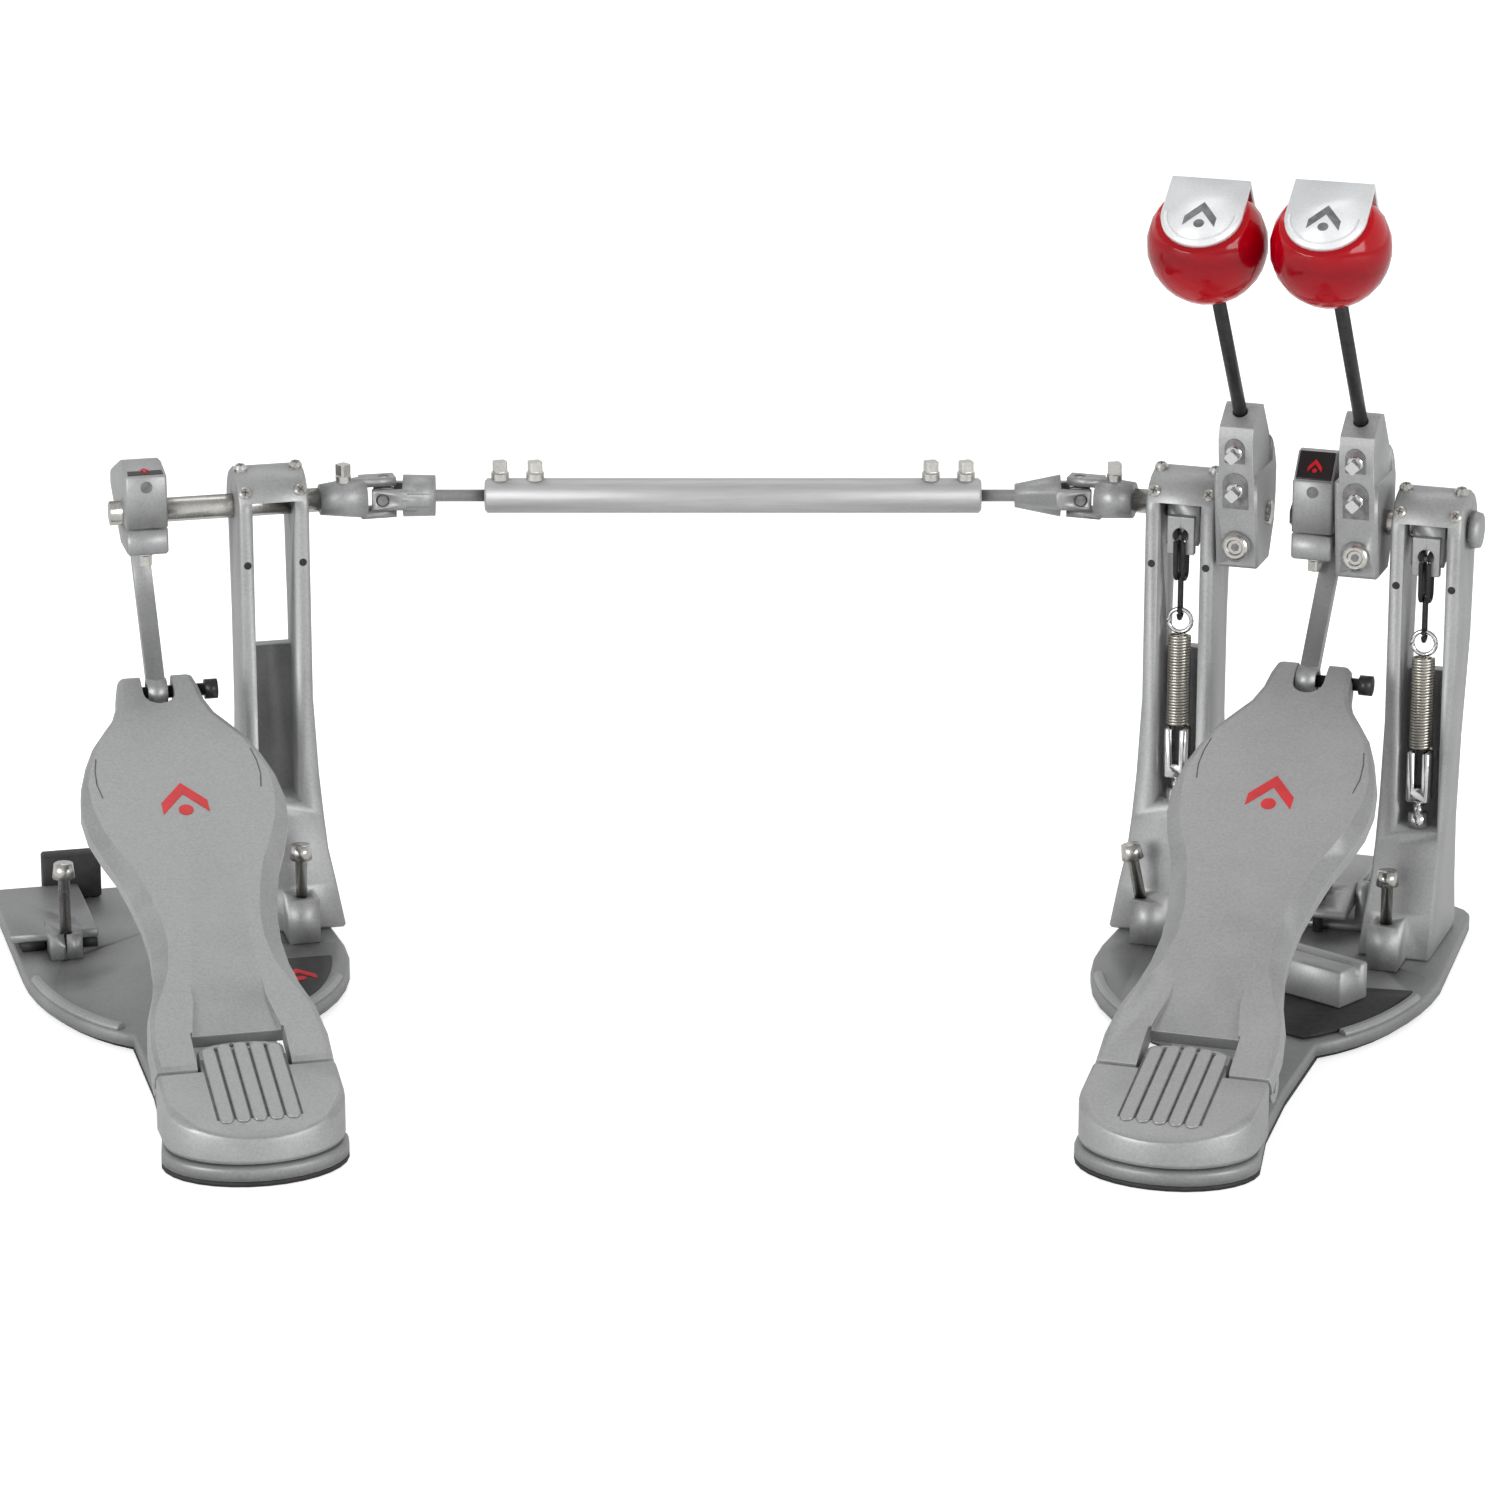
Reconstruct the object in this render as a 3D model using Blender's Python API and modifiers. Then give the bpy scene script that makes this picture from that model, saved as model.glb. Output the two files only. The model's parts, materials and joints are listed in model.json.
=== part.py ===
"""Double bass drum pedal: a primary pedal with two beaters, a slave pedal and a drive shaft.

Metres, +Z up, +X along the drive shaft to the player's right, +Y towards the drum.
The origin is on the floor under the middle of the primary pedal's footboard axle.
Each pedal is built in its own turned frame: u along its axle, v towards the drum, w up.
"""

import math

import bmesh
import bpy
from mathutils import Matrix, Vector

# ---- Driving dimensions ----
GAP = 0.0003  # clearance between two solids that touch
RUN = 0.0003  # radial clearance of a pin in its bore

PRIMARY_TOE_OUT = math.radians(18.5)
SLAVE_TOE_OUT = math.radians(14)
AXLE_HEIGHT = 0.200
HEX_AF = 0.0095  # axle hexagon across flats

PAD_THICK = 0.002
PLATE_THICK = 0.0057
PLATE_FRONT = 0.060
PLATE_ARC_V = -0.043
NECK_HALF = 0.0290

HEEL_END = -0.300
HEEL_HALF = 0.0372
HEEL_SLOPE = math.radians(15.5)
SEAM_V = -0.250
SEAM_W = 0.0335
TONGUE_HALF = 0.0180
TONGUE_LONG = 0.0175
HINGE_ALONG = 0.0068
HINGE_DEEP = 0.0110
HINGE_PIN_R = 0.0028
HINGE_LUG_R = 0.0068

BOARD_LONG = 0.2431
PRIMARY_SLOPE = math.radians(27.2)
SLAVE_SLOPE = math.radians(24.6)
BOARD_THICK = 0.0090
BOARD_SKIN = 0.0038
BOARD_WALL = 0.0060
CUTOUT_SIDE_GAP = 0.0014
SLOT_HALF = 0.0068
SLOT_LONG = 0.0195
TOE_PIN_R = 0.0028
TOE_PIN_FROM_END = 0.0066
TOE_PIN_DEEP = 0.0052
BOARD_HALVES = (  # distance from the hinge seam, half width
    (0.000, 0.0370),
    (0.017, 0.0372),
    (0.033, 0.0350),
    (0.047, 0.0308),
    (0.060, 0.0284),
    (0.075, 0.0276),
    (0.090, 0.0286),
    (0.105, 0.0312),
    (0.120, 0.0345),
    (0.133, 0.0390),
    (0.147, 0.0428),
    (0.161, 0.0438),
    (0.175, 0.0420),
    (0.188, 0.0383),
    (0.200, 0.0335),
    (0.209, 0.0278),
    (0.217, 0.0225),
    (0.226, 0.0194),
    (0.235, 0.0182),
)
TOE_HALF = 0.0170

LINK_WIDE = 0.0085
LINK_THICK = 0.0050
LINK_EYE_R = 0.0062
TOE_EYE_PLAY = 0.0013  # the open pivot's extra clearance
LINK_ARM_V = 0.0247  # cam pin from the axle
LINK_ARM_W = 0.0080
CAM_PIN_R = 0.0028
CAM_WIDE = 0.0180
CAM_SLIT = 0.0012
CAM_SLIT_W = AXLE_HEIGHT - 0.0035

COLUMN_HALF = 0.0155
BARREL_R = 0.0172
WINDOW_HALF = 0.0095
WINDOW_TOP = 0.2045
WINDOW_SILL = 0.1340
POCKET_FLOOR = 0.0670
POCKET_BACK = 0.0040
HUB_ROOM_R = 0.0146
SLAVE_COLUMN_U = 0.0562
OUTER_COLUMN_U = 0.0432
INNER_COLUMN_U = -0.0658

PRIMARY_CAM_U = -0.0068
PRIMARY_LINK_U = -0.0020
SLAVE_CAM_U = 0.0005
SLAVE_LINK_U = 0.0
HOLDER_WIDE = 0.0190
RIGHT_HOLDER_U = 0.0136
LEFT_HOLDER_U = -0.0396

RECLINE = math.radians(36)
ROD_OFFSET = 0.0140  # beater rod behind the axle
ROD_R = 0.0030
ROD_TAIL = 0.012
LEFT_BALL_AT = 0.1590
RIGHT_BALL_AT = 0.1625
BALL_R = 0.0255
BALL_TOP = 0.0165
BALL_FLAT = 0.0168
DISC_R = 0.0172
INSERT_THICK = 0.0024
INSERT_HALF = 0.0168

ROCKER_HUB_R = 0.0104
ROCKER_TIP_R = 0.0034
ROCKER_ARM = 0.0155
ROCKER_REST = math.radians(230)
ROCKER_HALF = 0.0070
HOOK_V = -0.0126
HOOK_EYE_V = -0.0120
HOOK_PLATE = 0.0030
HOOK_LIFT = 0.01307  # the hook's travel for each radian of swing
HOOK_EYE_R = 0.0040
HOOK_EYE_LONG = 0.0026
HOOK_PLAY = 0.0031
ROCKER_PIN_R = 0.0016
SPRING_TOP = 0.1450
SPRING_FOOT = 0.1030
SPRING_R = 0.0052

SHAFT_SPAN = 0.306  # between the two universal joint crosses
SLAVE_CROSS_U = 0.108
PRIMARY_CROSS_U = -0.1157
CROSS_PIN_R = 0.0024
CROSS_HALF = 0.0044
SHAFT_PLAY = 0.0006  # the shaft yokes' extra clearance: each joint is opened there
EAR_IN = 0.0053
EAR_OUT = 0.0090
EAR_HALF = 0.0044
EAR_REACH = 0.0048
HUB_BACK = 0.0086
SHAFT_ROD_R = 0.0027
TUBE_R = 0.0077
TUBE_INSET_LEFT = 0.0444
TUBE_INSET_RIGHT = 0.0433
ROD_IN_TUBE = 0.055

SPUR_R = 0.0026
SPUR_TIP = 0.0040
SPUR_HEAD_W = 0.0520
SPUR_BLOCK = 0.0138
SPUR_BLOCK_TOP = 0.0280
SPUR_FRONT = 0.0315  # screw axis in front of the axle

PLATE_BOTTOM = PAD_THICK + GAP
PLATE_TOP = PLATE_BOTTOM + PLATE_THICK
ON_PLATE = PLATE_TOP + GAP
ROUND = 20  # sides of a turned piece

SIDE = Matrix(((0, 0, 1, 0), (1, 0, 0, 0), (0, 1, 0, 0), (0, 0, 0, 1)))  # outline (v, w), depth u
FRONT = Matrix(((1, 0, 0, 0), (0, 0, -1, 0), (0, 1, 0, 0), (0, 0, 0, 1)))  # outline (u, w), depth v


# ---- Scene, materials and modelling helpers ----
for old in list(bpy.data.objects):
    bpy.data.objects.remove(old, do_unlink=True)


def new_collection(name):
    made = bpy.data.collections.new(name)
    bpy.context.scene.collection.children.link(made)
    return made


PARTS = new_collection("bass_drum_pedal")
CUTTERS = new_collection("cutters")


def material(name, colour, roughness, metallic):
    made = bpy.data.materials.new(name)
    made.use_nodes = True
    shader = made.node_tree.nodes["Principled BSDF"]
    shader.inputs["Base Color"].default_value = (*colour, 1)
    shader.inputs["Roughness"].default_value = roughness
    shader.inputs["Metallic"].default_value = metallic
    made.diffuse_color = (*colour, 1)
    return made


CAST = material("cast_aluminium", (0.42, 0.42, 0.43), 0.45, 0.85)
STEEL = material("plated_steel", (0.62, 0.61, 0.58), 0.25, 1.0)
BLACK_STEEL = material("black_steel", (0.03, 0.03, 0.035), 0.4, 0.7)
RUBBER = material("black_rubber", (0.02, 0.02, 0.022), 0.8, 0.0)
RED = material("red_translucent_plastic", (0.65, 0.02, 0.02), 0.12, 0.0)


def pedal_frame(name, x, y, turn):
    """An empty that carries one pedal: its local axes are u, v and w."""
    frame = bpy.data.objects.new(name, None)
    frame.location = (x, y, 0)
    frame.rotation_euler = (0, 0, turn)
    PARTS.objects.link(frame)
    return frame


def solid(name, bm, frame, finish, origin=(0, 0, 0)):
    """An object from a bmesh in its frame's coordinates, with its origin on its joint's axis."""
    bmesh.ops.translate(bm, verts=bm.verts, vec=-Vector(origin))
    bmesh.ops.recalc_face_normals(bm, faces=bm.faces)
    mesh = bpy.data.meshes.new(name)
    bm.to_mesh(mesh)
    bm.free()
    mesh.shade_smooth()
    mesh.set_sharp_from_angle(angle=math.radians(35))
    made = bpy.data.objects.new(name, mesh)
    made.location = origin
    made.parent = frame
    if finish is None:
        CUTTERS.objects.link(made)
        made.hide_render = True
        made.display_type = "WIRE"
    else:
        mesh.materials.append(finish)
        PARTS.objects.link(made)
    return made


def combine(target, kind, *shapes):
    """Cuts, joins or intersects a piece with shapes given as bmeshes in the same frame."""
    for bm in shapes:
        tool = solid(f"{target.name}_{kind.lower()}", bm, target.parent, None)
        step = target.modifiers.new(kind.title(), "BOOLEAN")
        step.operation = kind
        step.object = tool
    return target


def cut(target, *shapes):
    return combine(target, "DIFFERENCE", *shapes)


def join(target, *shapes):
    return combine(target, "UNION", *shapes)


def soften(target, width, segments=1, angle=40):
    edge = target.modifiers.new("Bevel", "BEVEL")
    edge.width = width
    edge.segments = segments
    edge.limit_method = "ANGLE"
    edge.angle_limit = math.radians(angle)
    return target


def box(low, high, place=None):
    low, high = Vector(low), Vector(high)
    bm = bmesh.new()
    size = Matrix.Diagonal((*(high - low), 1))
    bmesh.ops.create_cube(bm, size=1, matrix=Matrix.Translation((low + high) / 2) @ size)
    if place is not None:
        bmesh.ops.transform(bm, matrix=place, verts=bm.verts)
    return bm


def rod(start, end, radius, end_radius=None, sides=ROUND, spin=0.0):
    """A cylinder, a cone or, with six sides, a hexagon bar between two points."""
    start, end = Vector(start), Vector(end)
    along = end - start
    turn = along.to_track_quat("Z", "Y").to_matrix().to_4x4()
    place = Matrix.Translation((start + end) / 2) @ turn @ Matrix.Rotation(spin, 4, "Z")
    bm = bmesh.new()
    bmesh.ops.create_cone(
        bm,
        cap_ends=True,
        segments=sides,
        radius1=radius,
        radius2=radius if end_radius is None else end_radius,
        depth=along.length,
        matrix=place,
    )
    return bm


def hexagon(start_u, end_u, across):
    return rod((start_u, 0, AXLE_HEIGHT), (end_u, 0, AXLE_HEIGHT), across / math.sqrt(3), sides=6)


def slab(points, depth, place):
    """A flat outline given its thickness, centred on the plane that place holds."""
    curve = bpy.data.curves.new("outline", "CURVE")
    curve.dimensions = "2D"
    curve.fill_mode = "BOTH"
    curve.extrude = depth / 2
    spline = curve.splines.new("POLY")
    spline.points.add(len(points) - 1)
    for point, (x, y) in zip(spline.points, points):
        point.co = (x, y, 0, 1)
    spline.use_cyclic_u = True
    guide = bpy.data.objects.new("outline", curve)
    CUTTERS.objects.link(guide)
    graph = bpy.context.evaluated_depsgraph_get()
    mesh = bpy.data.meshes.new_from_object(guide.evaluated_get(graph))
    bpy.data.objects.remove(guide, do_unlink=True)
    bm = bmesh.new()
    bm.from_mesh(mesh)
    bpy.data.meshes.remove(mesh)
    bmesh.ops.remove_doubles(bm, verts=bm.verts, dist=1e-6)
    bmesh.ops.dissolve_limit(bm, angle_limit=math.radians(1), verts=bm.verts, edges=bm.edges)
    bmesh.ops.transform(bm, matrix=place, verts=bm.verts)
    return bm


def flat(low_w, high_w):
    """Where slab() puts a plan outline (u, v) between two heights."""
    return Matrix.Translation((0, 0, (low_w + high_w) / 2))


def arc(centre, radius, start, end, steps):
    """Points along an arc in degrees; a radius may be a pair for an ellipse."""
    across, up = radius if isinstance(radius, tuple) else (radius, radius)
    points = []
    for step in range(steps + 1):
        angle = math.radians(start + (end - start) * step / steps)
        points.append((centre[0] + across * math.cos(angle), centre[1] + up * math.sin(angle)))
    return points


def around(*circles, sides=24):
    """The outline of a strap pulled round circles given as (x, y, radius)."""
    cloud = []
    for x, y, radius in circles:
        cloud += arc((x, y), radius, 0, 360, sides)[:-1] if radius else [(x, y)]
    cloud = sorted(set(cloud))
    outline = []
    for run in (cloud, cloud[::-1]):
        half = []
        for point in run:
            while len(half) > 1 and turn_of(half[-2], half[-1], point) <= 1e-12:
                half.pop()
            half.append(point)
        outline += half[:-1]
    return outline


def turn_of(a, b, c):
    return (b[0] - a[0]) * (c[1] - a[1]) - (b[1] - a[1]) * (c[0] - a[0])


def mirrored(points):
    """An outline closed by its own mirror image in the other half."""
    return points + [(-x, y) for x, y in reversed(points) if abs(x) > 1e-9]


def soften_edges(bm, at_height, width, segments, axis=2):
    """Rounds the edges that lie at one height of an outline."""
    picked = []
    for edge in bm.edges:
        if all(abs(vert.co[axis] - at_height) < 1e-6 for vert in edge.verts):
            picked.append(edge)
    bmesh.ops.bevel(
        bm, geom=picked, offset=width, segments=segments, profile=0.5, affect="EDGES", material=-1
    )
    return bm


def on_axle(points):
    return [(v, AXLE_HEIGHT + w) for v, w in points]


def upright(u):
    """Where slab() puts a side outline (v, w) at one place along the axle."""
    return Matrix.Translation((u, 0, 0)) @ SIDE


# ---- Base plates, heel plates and floor pads ----
def plate_side(front, half, run):
    """One side of a base plate, from its front corner to the middle of its heel."""
    corner = 0.016
    points = arc((front - corner, PLATE_FRONT - corner), corner, 90, 0, 4)
    sweep = math.degrees(math.acos(NECK_HALF / half))
    points += arc((0, PLATE_ARC_V), (half, run), 0, -sweep, 8)
    points += [(NECK_HALF + 0.0005, -0.192), (NECK_HALF + 0.0035, -0.236)]
    heel_half = HEEL_HALF + 0.0012
    return points + arc((0, HEEL_END + 0.030), (heel_half, 0.030), 0, -90, 8)


def plate_outline(left, right, inset=0.0):
    """left and right are (half width in front, at its widest, length of the swept arc)."""
    right_side = plate_side(*[size - inset for size in right])
    left_side = plate_side(*[size - inset for size in left])
    return right_side + [(-x, y) for x, y in reversed(left_side[:-1])]


def spur_hole(u, lean=0.0):
    lower = spur_point(u, lean, -0.010)
    upper = spur_point(u, lean, 0.060)
    return rod(lower, upper, SPUR_R + RUN, sides=14)


def spur_point(u, lean, w):
    """A point on a spur screw's axis, which crosses its block's foot at u."""
    return (u + math.tan(lean) * (w - PLATE_TOP), -SPUR_FRONT, w)


def base_plate(name, frame, left, right, spurs):
    plate = slab(plate_outline(left, right), PLATE_THICK, flat(PLATE_BOTTOM, PLATE_TOP))
    plate = solid(f"{name}_base_plate", soften_edges(plate, PLATE_TOP, 0.0015, 2), frame, CAST)
    cut(plate, *[spur_hole(*spur) for spur in spurs])
    pad = slab(plate_outline(left, right, 0.003), PAD_THICK, flat(0, PAD_THICK))
    pad = solid(f"{name}_floor_pad", pad, frame, RUBBER)
    cut(pad, *[spur_hole(*spur) for spur in spurs])


def heel_top(v):
    return SEAM_W + (v - SEAM_V) * math.tan(HEEL_SLOPE)


def board_point(slope, along, deep):
    """(v, w) of a point on the footboard, from its hinge seam and under its top face."""
    v = SEAM_V + along * math.cos(slope) + deep * math.sin(slope)
    w = SEAM_W + along * math.sin(slope) - deep * math.cos(slope)
    return v, w


def toe_pin_at(slope):
    return board_point(slope, BOARD_LONG - TOE_PIN_FROM_END, TOE_PIN_DEEP)


HINGE = board_point((PRIMARY_SLOPE + SLAVE_SLOPE) / 2, HINGE_ALONG, HINGE_DEEP)
CAM_PIN = (LINK_ARM_V, AXLE_HEIGHT + LINK_ARM_W)


def heel_plate(name, frame):
    front = SEAM_V - 0.0005
    tongue_end = SEAM_V + TONGUE_LONG
    half = arc((0, tongue_end - 0.005), (TONGUE_HALF, 0.005), 90, 0, 5)
    half += [(TONGUE_HALF, front), (HEEL_HALF, front)]
    half += arc((0, HEEL_END + 0.0315), (HEEL_HALF, 0.030), 0, -90, 10)
    top = heel_top(tongue_end) + 0.01
    plate = slab(mirrored(half), top - ON_PLATE, flat(ON_PLATE, top))
    plate = solid(f"{name}_heel_plate", plate, frame, CAST)
    tilt = Matrix.Translation((0, SEAM_V, SEAM_W)) @ Matrix.Rotation(HEEL_SLOPE, 4, "X")
    cut(plate, box((-0.06, -0.10, 0), (0.06, 0.10, 0.05), tilt))
    soften(plate, 0.0020, 2)
    reach = HEEL_HALF + 0.01
    cut(plate, rod((-reach, *HINGE), (reach, *HINGE), HINGE_PIN_R + RUN, sides=16))
    pin_half = HEEL_HALF - 0.0015
    pin = rod((-pin_half, *HINGE), (pin_half, *HINGE), HINGE_PIN_R, sides=16)
    solid(f"{name}_heel_pin", pin, frame, STEEL)


# ---- Footboards and their toe pins ----
def board_half(along, inset=0.0):
    """Half width of the board at one place, read smoothly between the stations."""
    stations = BOARD_HALVES
    for index in range(len(stations) - 1):
        (start, wide), (end, next_wide) = stations[index], stations[index + 1]
        if along <= end:
            share = (along - start) / (end - start)
            return wide + (next_wide - wide) * share - inset
    return stations[-1][1] - inset


def footboard(name, frame, slope):
    place = Matrix.Translation((0, SEAM_V, SEAM_W)) @ Matrix.Rotation(slope, 4, "X")
    toe_pin = toe_pin_at(slope)
    half = [(wide, along) for along, wide in BOARD_HALVES]
    half += arc((TOE_HALF - 0.0035, BOARD_LONG - 0.0035), 0.0035, 0, 90, 3)
    top_down = Matrix.Translation((0, 0, -BOARD_THICK / 2))
    board = slab(mirrored(half), BOARD_THICK, top_down)
    soften_edges(board, 0, 0.0030, 2)
    bmesh.ops.transform(board, matrix=place, verts=board.verts)
    board = solid(f"{name}_footboard", board, frame, CAST, (0, *HINGE))

    hollow = []
    for along in (0.034, 0.047, 0.060, 0.075, 0.095, 0.120, 0.147, 0.161, 0.180, 0.195, 0.205):
        hollow.append((board_half(along, BOARD_WALL), along))
    deep = place @ Matrix.Translation((0, 0, -BOARD_SKIN - 0.005))
    hollow = slab(mirrored(hollow), 0.010, deep)

    cutout_half = TONGUE_HALF + CUTOUT_SIDE_GAP
    cutout_end = TONGUE_LONG / math.cos(slope) + 0.0022
    cutout = box((-cutout_half, -0.03, -0.03), (cutout_half, cutout_end, 0.01), place)

    slot_end = BOARD_LONG - SLOT_LONG + SLOT_HALF
    slot = arc((0, slot_end), SLOT_HALF, 180, 360, 8)
    slot += [(SLOT_HALF, BOARD_LONG + 0.02), (-SLOT_HALF, BOARD_LONG + 0.02)]
    slot = slab(slot, 0.06, place)

    arm_in = cutout_half + 0.0002
    arm_out = board_half(HINGE_ALONG) - 0.0008
    lugs = []
    for hand in (-1, 1):
        lugs.append(rod((hand * arm_in, *HINGE), (hand * arm_out, *HINGE), HINGE_LUG_R, sides=18))
    join(board, *lugs)
    hinge_bore = rod((-0.05, *HINGE), (0.05, *HINGE), HINGE_PIN_R + RUN, sides=16)
    toe_bore = rod((-0.05, *toe_pin), (0.05, *toe_pin), TOE_PIN_R + RUN, sides=14)
    cut(board, hollow, cutout, slot, hinge_bore, toe_bore)

    toe_half = board_half(BOARD_LONG)
    knob_in = toe_half + 0.0028
    pin = rod((-toe_half + 0.001, *toe_pin), (knob_in + 0.001, *toe_pin), TOE_PIN_R, sides=14)
    pin = solid(f"{name}_toe_pin", pin, frame, BLACK_STEEL, (0, *toe_pin))
    join(pin, rod((knob_in, *toe_pin), (knob_in + 0.0055, *toe_pin), 0.0044, sides=14))


# ---- Links and cams ----
def link(name, frame, slope, link_u):
    eye = 18
    toe_pin = toe_pin_at(slope)
    body = around((*CAM_PIN, LINK_THICK / 2), (*toe_pin, LINK_THICK / 2), sides=8)
    body = slab(body, LINK_WIDE - 0.0006, upright(link_u))
    body = solid(f"{name}_link", body, frame, CAST, (0, *CAM_PIN))
    low, high = link_u - LINK_WIDE / 2, link_u + LINK_WIDE / 2
    for end in (CAM_PIN, toe_pin):
        join(body, rod((low, *end), (high, *end), LINK_EYE_R, sides=eye))
    cut(body, rod((low - 0.01, *CAM_PIN), (high + 0.01, *CAM_PIN), CAM_PIN_R + RUN, sides=eye))
    toe_eye = TOE_PIN_R + TOE_EYE_PLAY
    cut(body, rod((low - 0.01, *toe_pin), (high + 0.01, *toe_pin), toe_eye, sides=eye))


def link_room(slope):
    """The side outline of the slot in a cam's back, clear of the link from rest to full swing."""
    toe_pin = toe_pin_at(slope)
    toward = Vector((toe_pin[0] - CAM_PIN[0], toe_pin[1] - CAM_PIN[1])).normalized()
    toward = Matrix.Rotation(math.radians(-7), 2) @ toward
    inward = Vector((toward.y, -toward.x))
    pin = Vector(CAM_PIN)
    clear = LINK_THICK / 2 + 0.0018
    room = LINK_EYE_R + 0.0011
    points = [tuple(pin + inward * clear + toward * 0.06), tuple(pin + inward * clear + toward * 0.005)]
    points += arc(pin, room, math.degrees(math.atan2(inward.y, inward.x)) + 40, 90, 8)
    return points + [(0.06, pin.y + room), (0.06, pin.y - 0.07)]


def cam(name, frame, slope, cam_u, link_u):
    shape = around(
        (-0.0010, 0.0080, 0.0155),
        (LINK_ARM_V, LINK_ARM_W, 0.0060),
        (-0.0180, 0.0205, 0),
        (-0.0180, -0.0150, 0),
        (0.0030, -0.0150, 0),
    )
    body = slab(on_axle(shape), CAM_WIDE, upright(cam_u))
    body = solid(f"{name}_cam", body, frame, CAST, (0, 0, AXLE_HEIGHT))
    soften(body, 0.0010)
    cut(body, slab(link_room(slope), LINK_WIDE + 0.0012, upright(link_u)))
    far = CAM_WIDE / 2 + 0.01
    cut(body, hexagon(cam_u - far, cam_u + far, HEX_AF + 2 * RUN))
    slit = box(
        (cam_u - far, -0.03, CAM_SLIT_W - CAM_SLIT / 2), (cam_u + far, -0.001, CAM_SLIT_W + CAM_SLIT / 2)
    )
    cut(body, slit)
    ends = (cam_u - CAM_WIDE / 2 + 0.0008, cam_u + CAM_WIDE / 2 - 0.0008)
    join(body, rod((ends[0], *CAM_PIN), (ends[1], *CAM_PIN), CAM_PIN_R, sides=14))


# ---- Columns with their spur blocks, and the spur screws ----
def column(name, frame, column_u, feet, spur_u, lean=0.0):
    """A cast column; feet holds how far its foot spreads to the left and to the right."""
    top = AXLE_HEIGHT + BARREL_R + 0.001
    face = []
    for hand, spread in zip((-1, 1), feet):
        edge = [(0, top), (0, 0.115), (spread * 0.16, 0.080), (spread * 0.42, 0.045), (spread, ON_PLATE)]
        if spread < 0:
            edge = [(0, top), (0, 0.150), (spread, ON_PLATE)]
        edge = [(column_u + hand * (COLUMN_HALF + out), w) for out, w in edge]
        face += edge if hand < 0 else edge[::-1]
    body = slab(face, 0.16, FRONT)
    body = solid(f"{name}_column", body, frame, CAST)
    side = arc((0, AXLE_HEIGHT), BARREL_R, -35, 180, 14)
    side += [(-BARREL_R, 0.060), (-0.0215, 0.030), (-0.0215, ON_PLATE), (0.0330, ON_PLATE)]
    side += [(0.0225, 0.035), (0.0145, 0.065), (0.0105, 0.105), (0.0110, 0.150)]
    combine(body, "INTERSECT", slab(side, 0.12, upright(column_u)))
    soften(body, 0.0012)
    block_half = SPUR_BLOCK / 2
    block = box(
        (spur_u - block_half, -SPUR_FRONT - block_half, ON_PLATE),
        (spur_u + block_half, -0.0165, SPUR_BLOCK_TOP),
    )
    join(body, block)
    cut(body, spur_hole(spur_u, lean))
    window = (column_u - WINDOW_HALF, column_u + WINDOW_HALF)
    cut(body, box((window[0], -0.05, WINDOW_SILL), (window[1], 0.05, WINDOW_TOP)))
    cut(body, box((window[0], -0.05, POCKET_FLOOR), (window[1], POCKET_BACK, WINDOW_SILL + 0.002)))
    axle = ((window[0], 0, AXLE_HEIGHT), (window[1], 0, AXLE_HEIGHT))
    cut(body, rod(*axle, HUB_ROOM_R, sides=24))
    bore = rod(
        (column_u - 0.03, 0, AXLE_HEIGHT), (column_u + 0.03, 0, AXLE_HEIGHT), HEX_AF / math.sqrt(3) + RUN
    )
    cut(body, bore)


def spur_screw(name, frame, spur_u, lean=0.0):
    tip = spur_point(spur_u, lean, SPUR_TIP)
    neck = spur_point(spur_u, lean, SPUR_TIP + 0.005)
    head = spur_point(spur_u, lean, SPUR_HEAD_W - 0.0060)
    top = spur_point(spur_u, lean, SPUR_HEAD_W)
    screw = solid(f"{name}_spur_screw", rod(neck, head, SPUR_R, sides=14), frame, STEEL, neck)
    point_end = spur_point(spur_u, lean, SPUR_TIP + 0.006)
    join(screw, rod(tip, point_end, 0.0006, SPUR_R * 0.98, sides=14))
    under = spur_point(spur_u, lean, SPUR_HEAD_W - 0.0065)
    join(screw, rod(under, top, 0.0050, 0.0042, sides=14))


# ---- Axles, rockers, hooks and springs ----
def hook_room():
    """What the hook's eye and shank sweep in the rocker, over its whole swing, with clearance."""
    circles = []
    pin_w = ROCKER_ARM * math.sin(ROCKER_REST)
    for degrees in (-6, 10, 25, 39):
        turn = Matrix.Rotation(math.radians(degrees), 2)
        lift = HOOK_LIFT * math.radians(degrees)
        for v, w, room in (
            (HOOK_EYE_V - HOOK_EYE_LONG, pin_w + lift, HOOK_EYE_R + 0.0006),
            (HOOK_EYE_V + HOOK_EYE_LONG, pin_w + lift, HOOK_EYE_R + 0.0006),
            (HOOK_V, pin_w + lift - 0.020, 0.0026),
        ):
            x, y = turn @ Vector((v, w))
            circles.append((x, AXLE_HEIGHT + y, room))
    return around(*circles, sides=12)


def rocker(name, frame, column_u):
    arm = (ROCKER_ARM * math.cos(ROCKER_REST), ROCKER_ARM * math.sin(ROCKER_REST))
    shape = around((0, 0, ROCKER_HUB_R), (*arm, ROCKER_TIP_R))
    body = slab(on_axle(shape), 2 * ROCKER_HALF, upright(column_u))
    body = solid(f"{name}_rocker", body, frame, CAST, (0, 0, AXLE_HEIGHT))
    pin = (arm[0], AXLE_HEIGHT + arm[1])
    throat = HOOK_PLATE / 2 + 0.0006
    cut(body, slab(hook_room(), 2 * throat, upright(column_u)))
    far = ROCKER_HALF + 0.01
    cut(body, hexagon(column_u - far, column_u + far, HEX_AF + 2 * RUN))
    ends = (column_u - ROCKER_HALF + 0.0005, column_u + ROCKER_HALF - 0.0005)
    join(body, rod((ends[0], *pin), (ends[1], *pin), ROCKER_PIN_R, sides=12))


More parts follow.
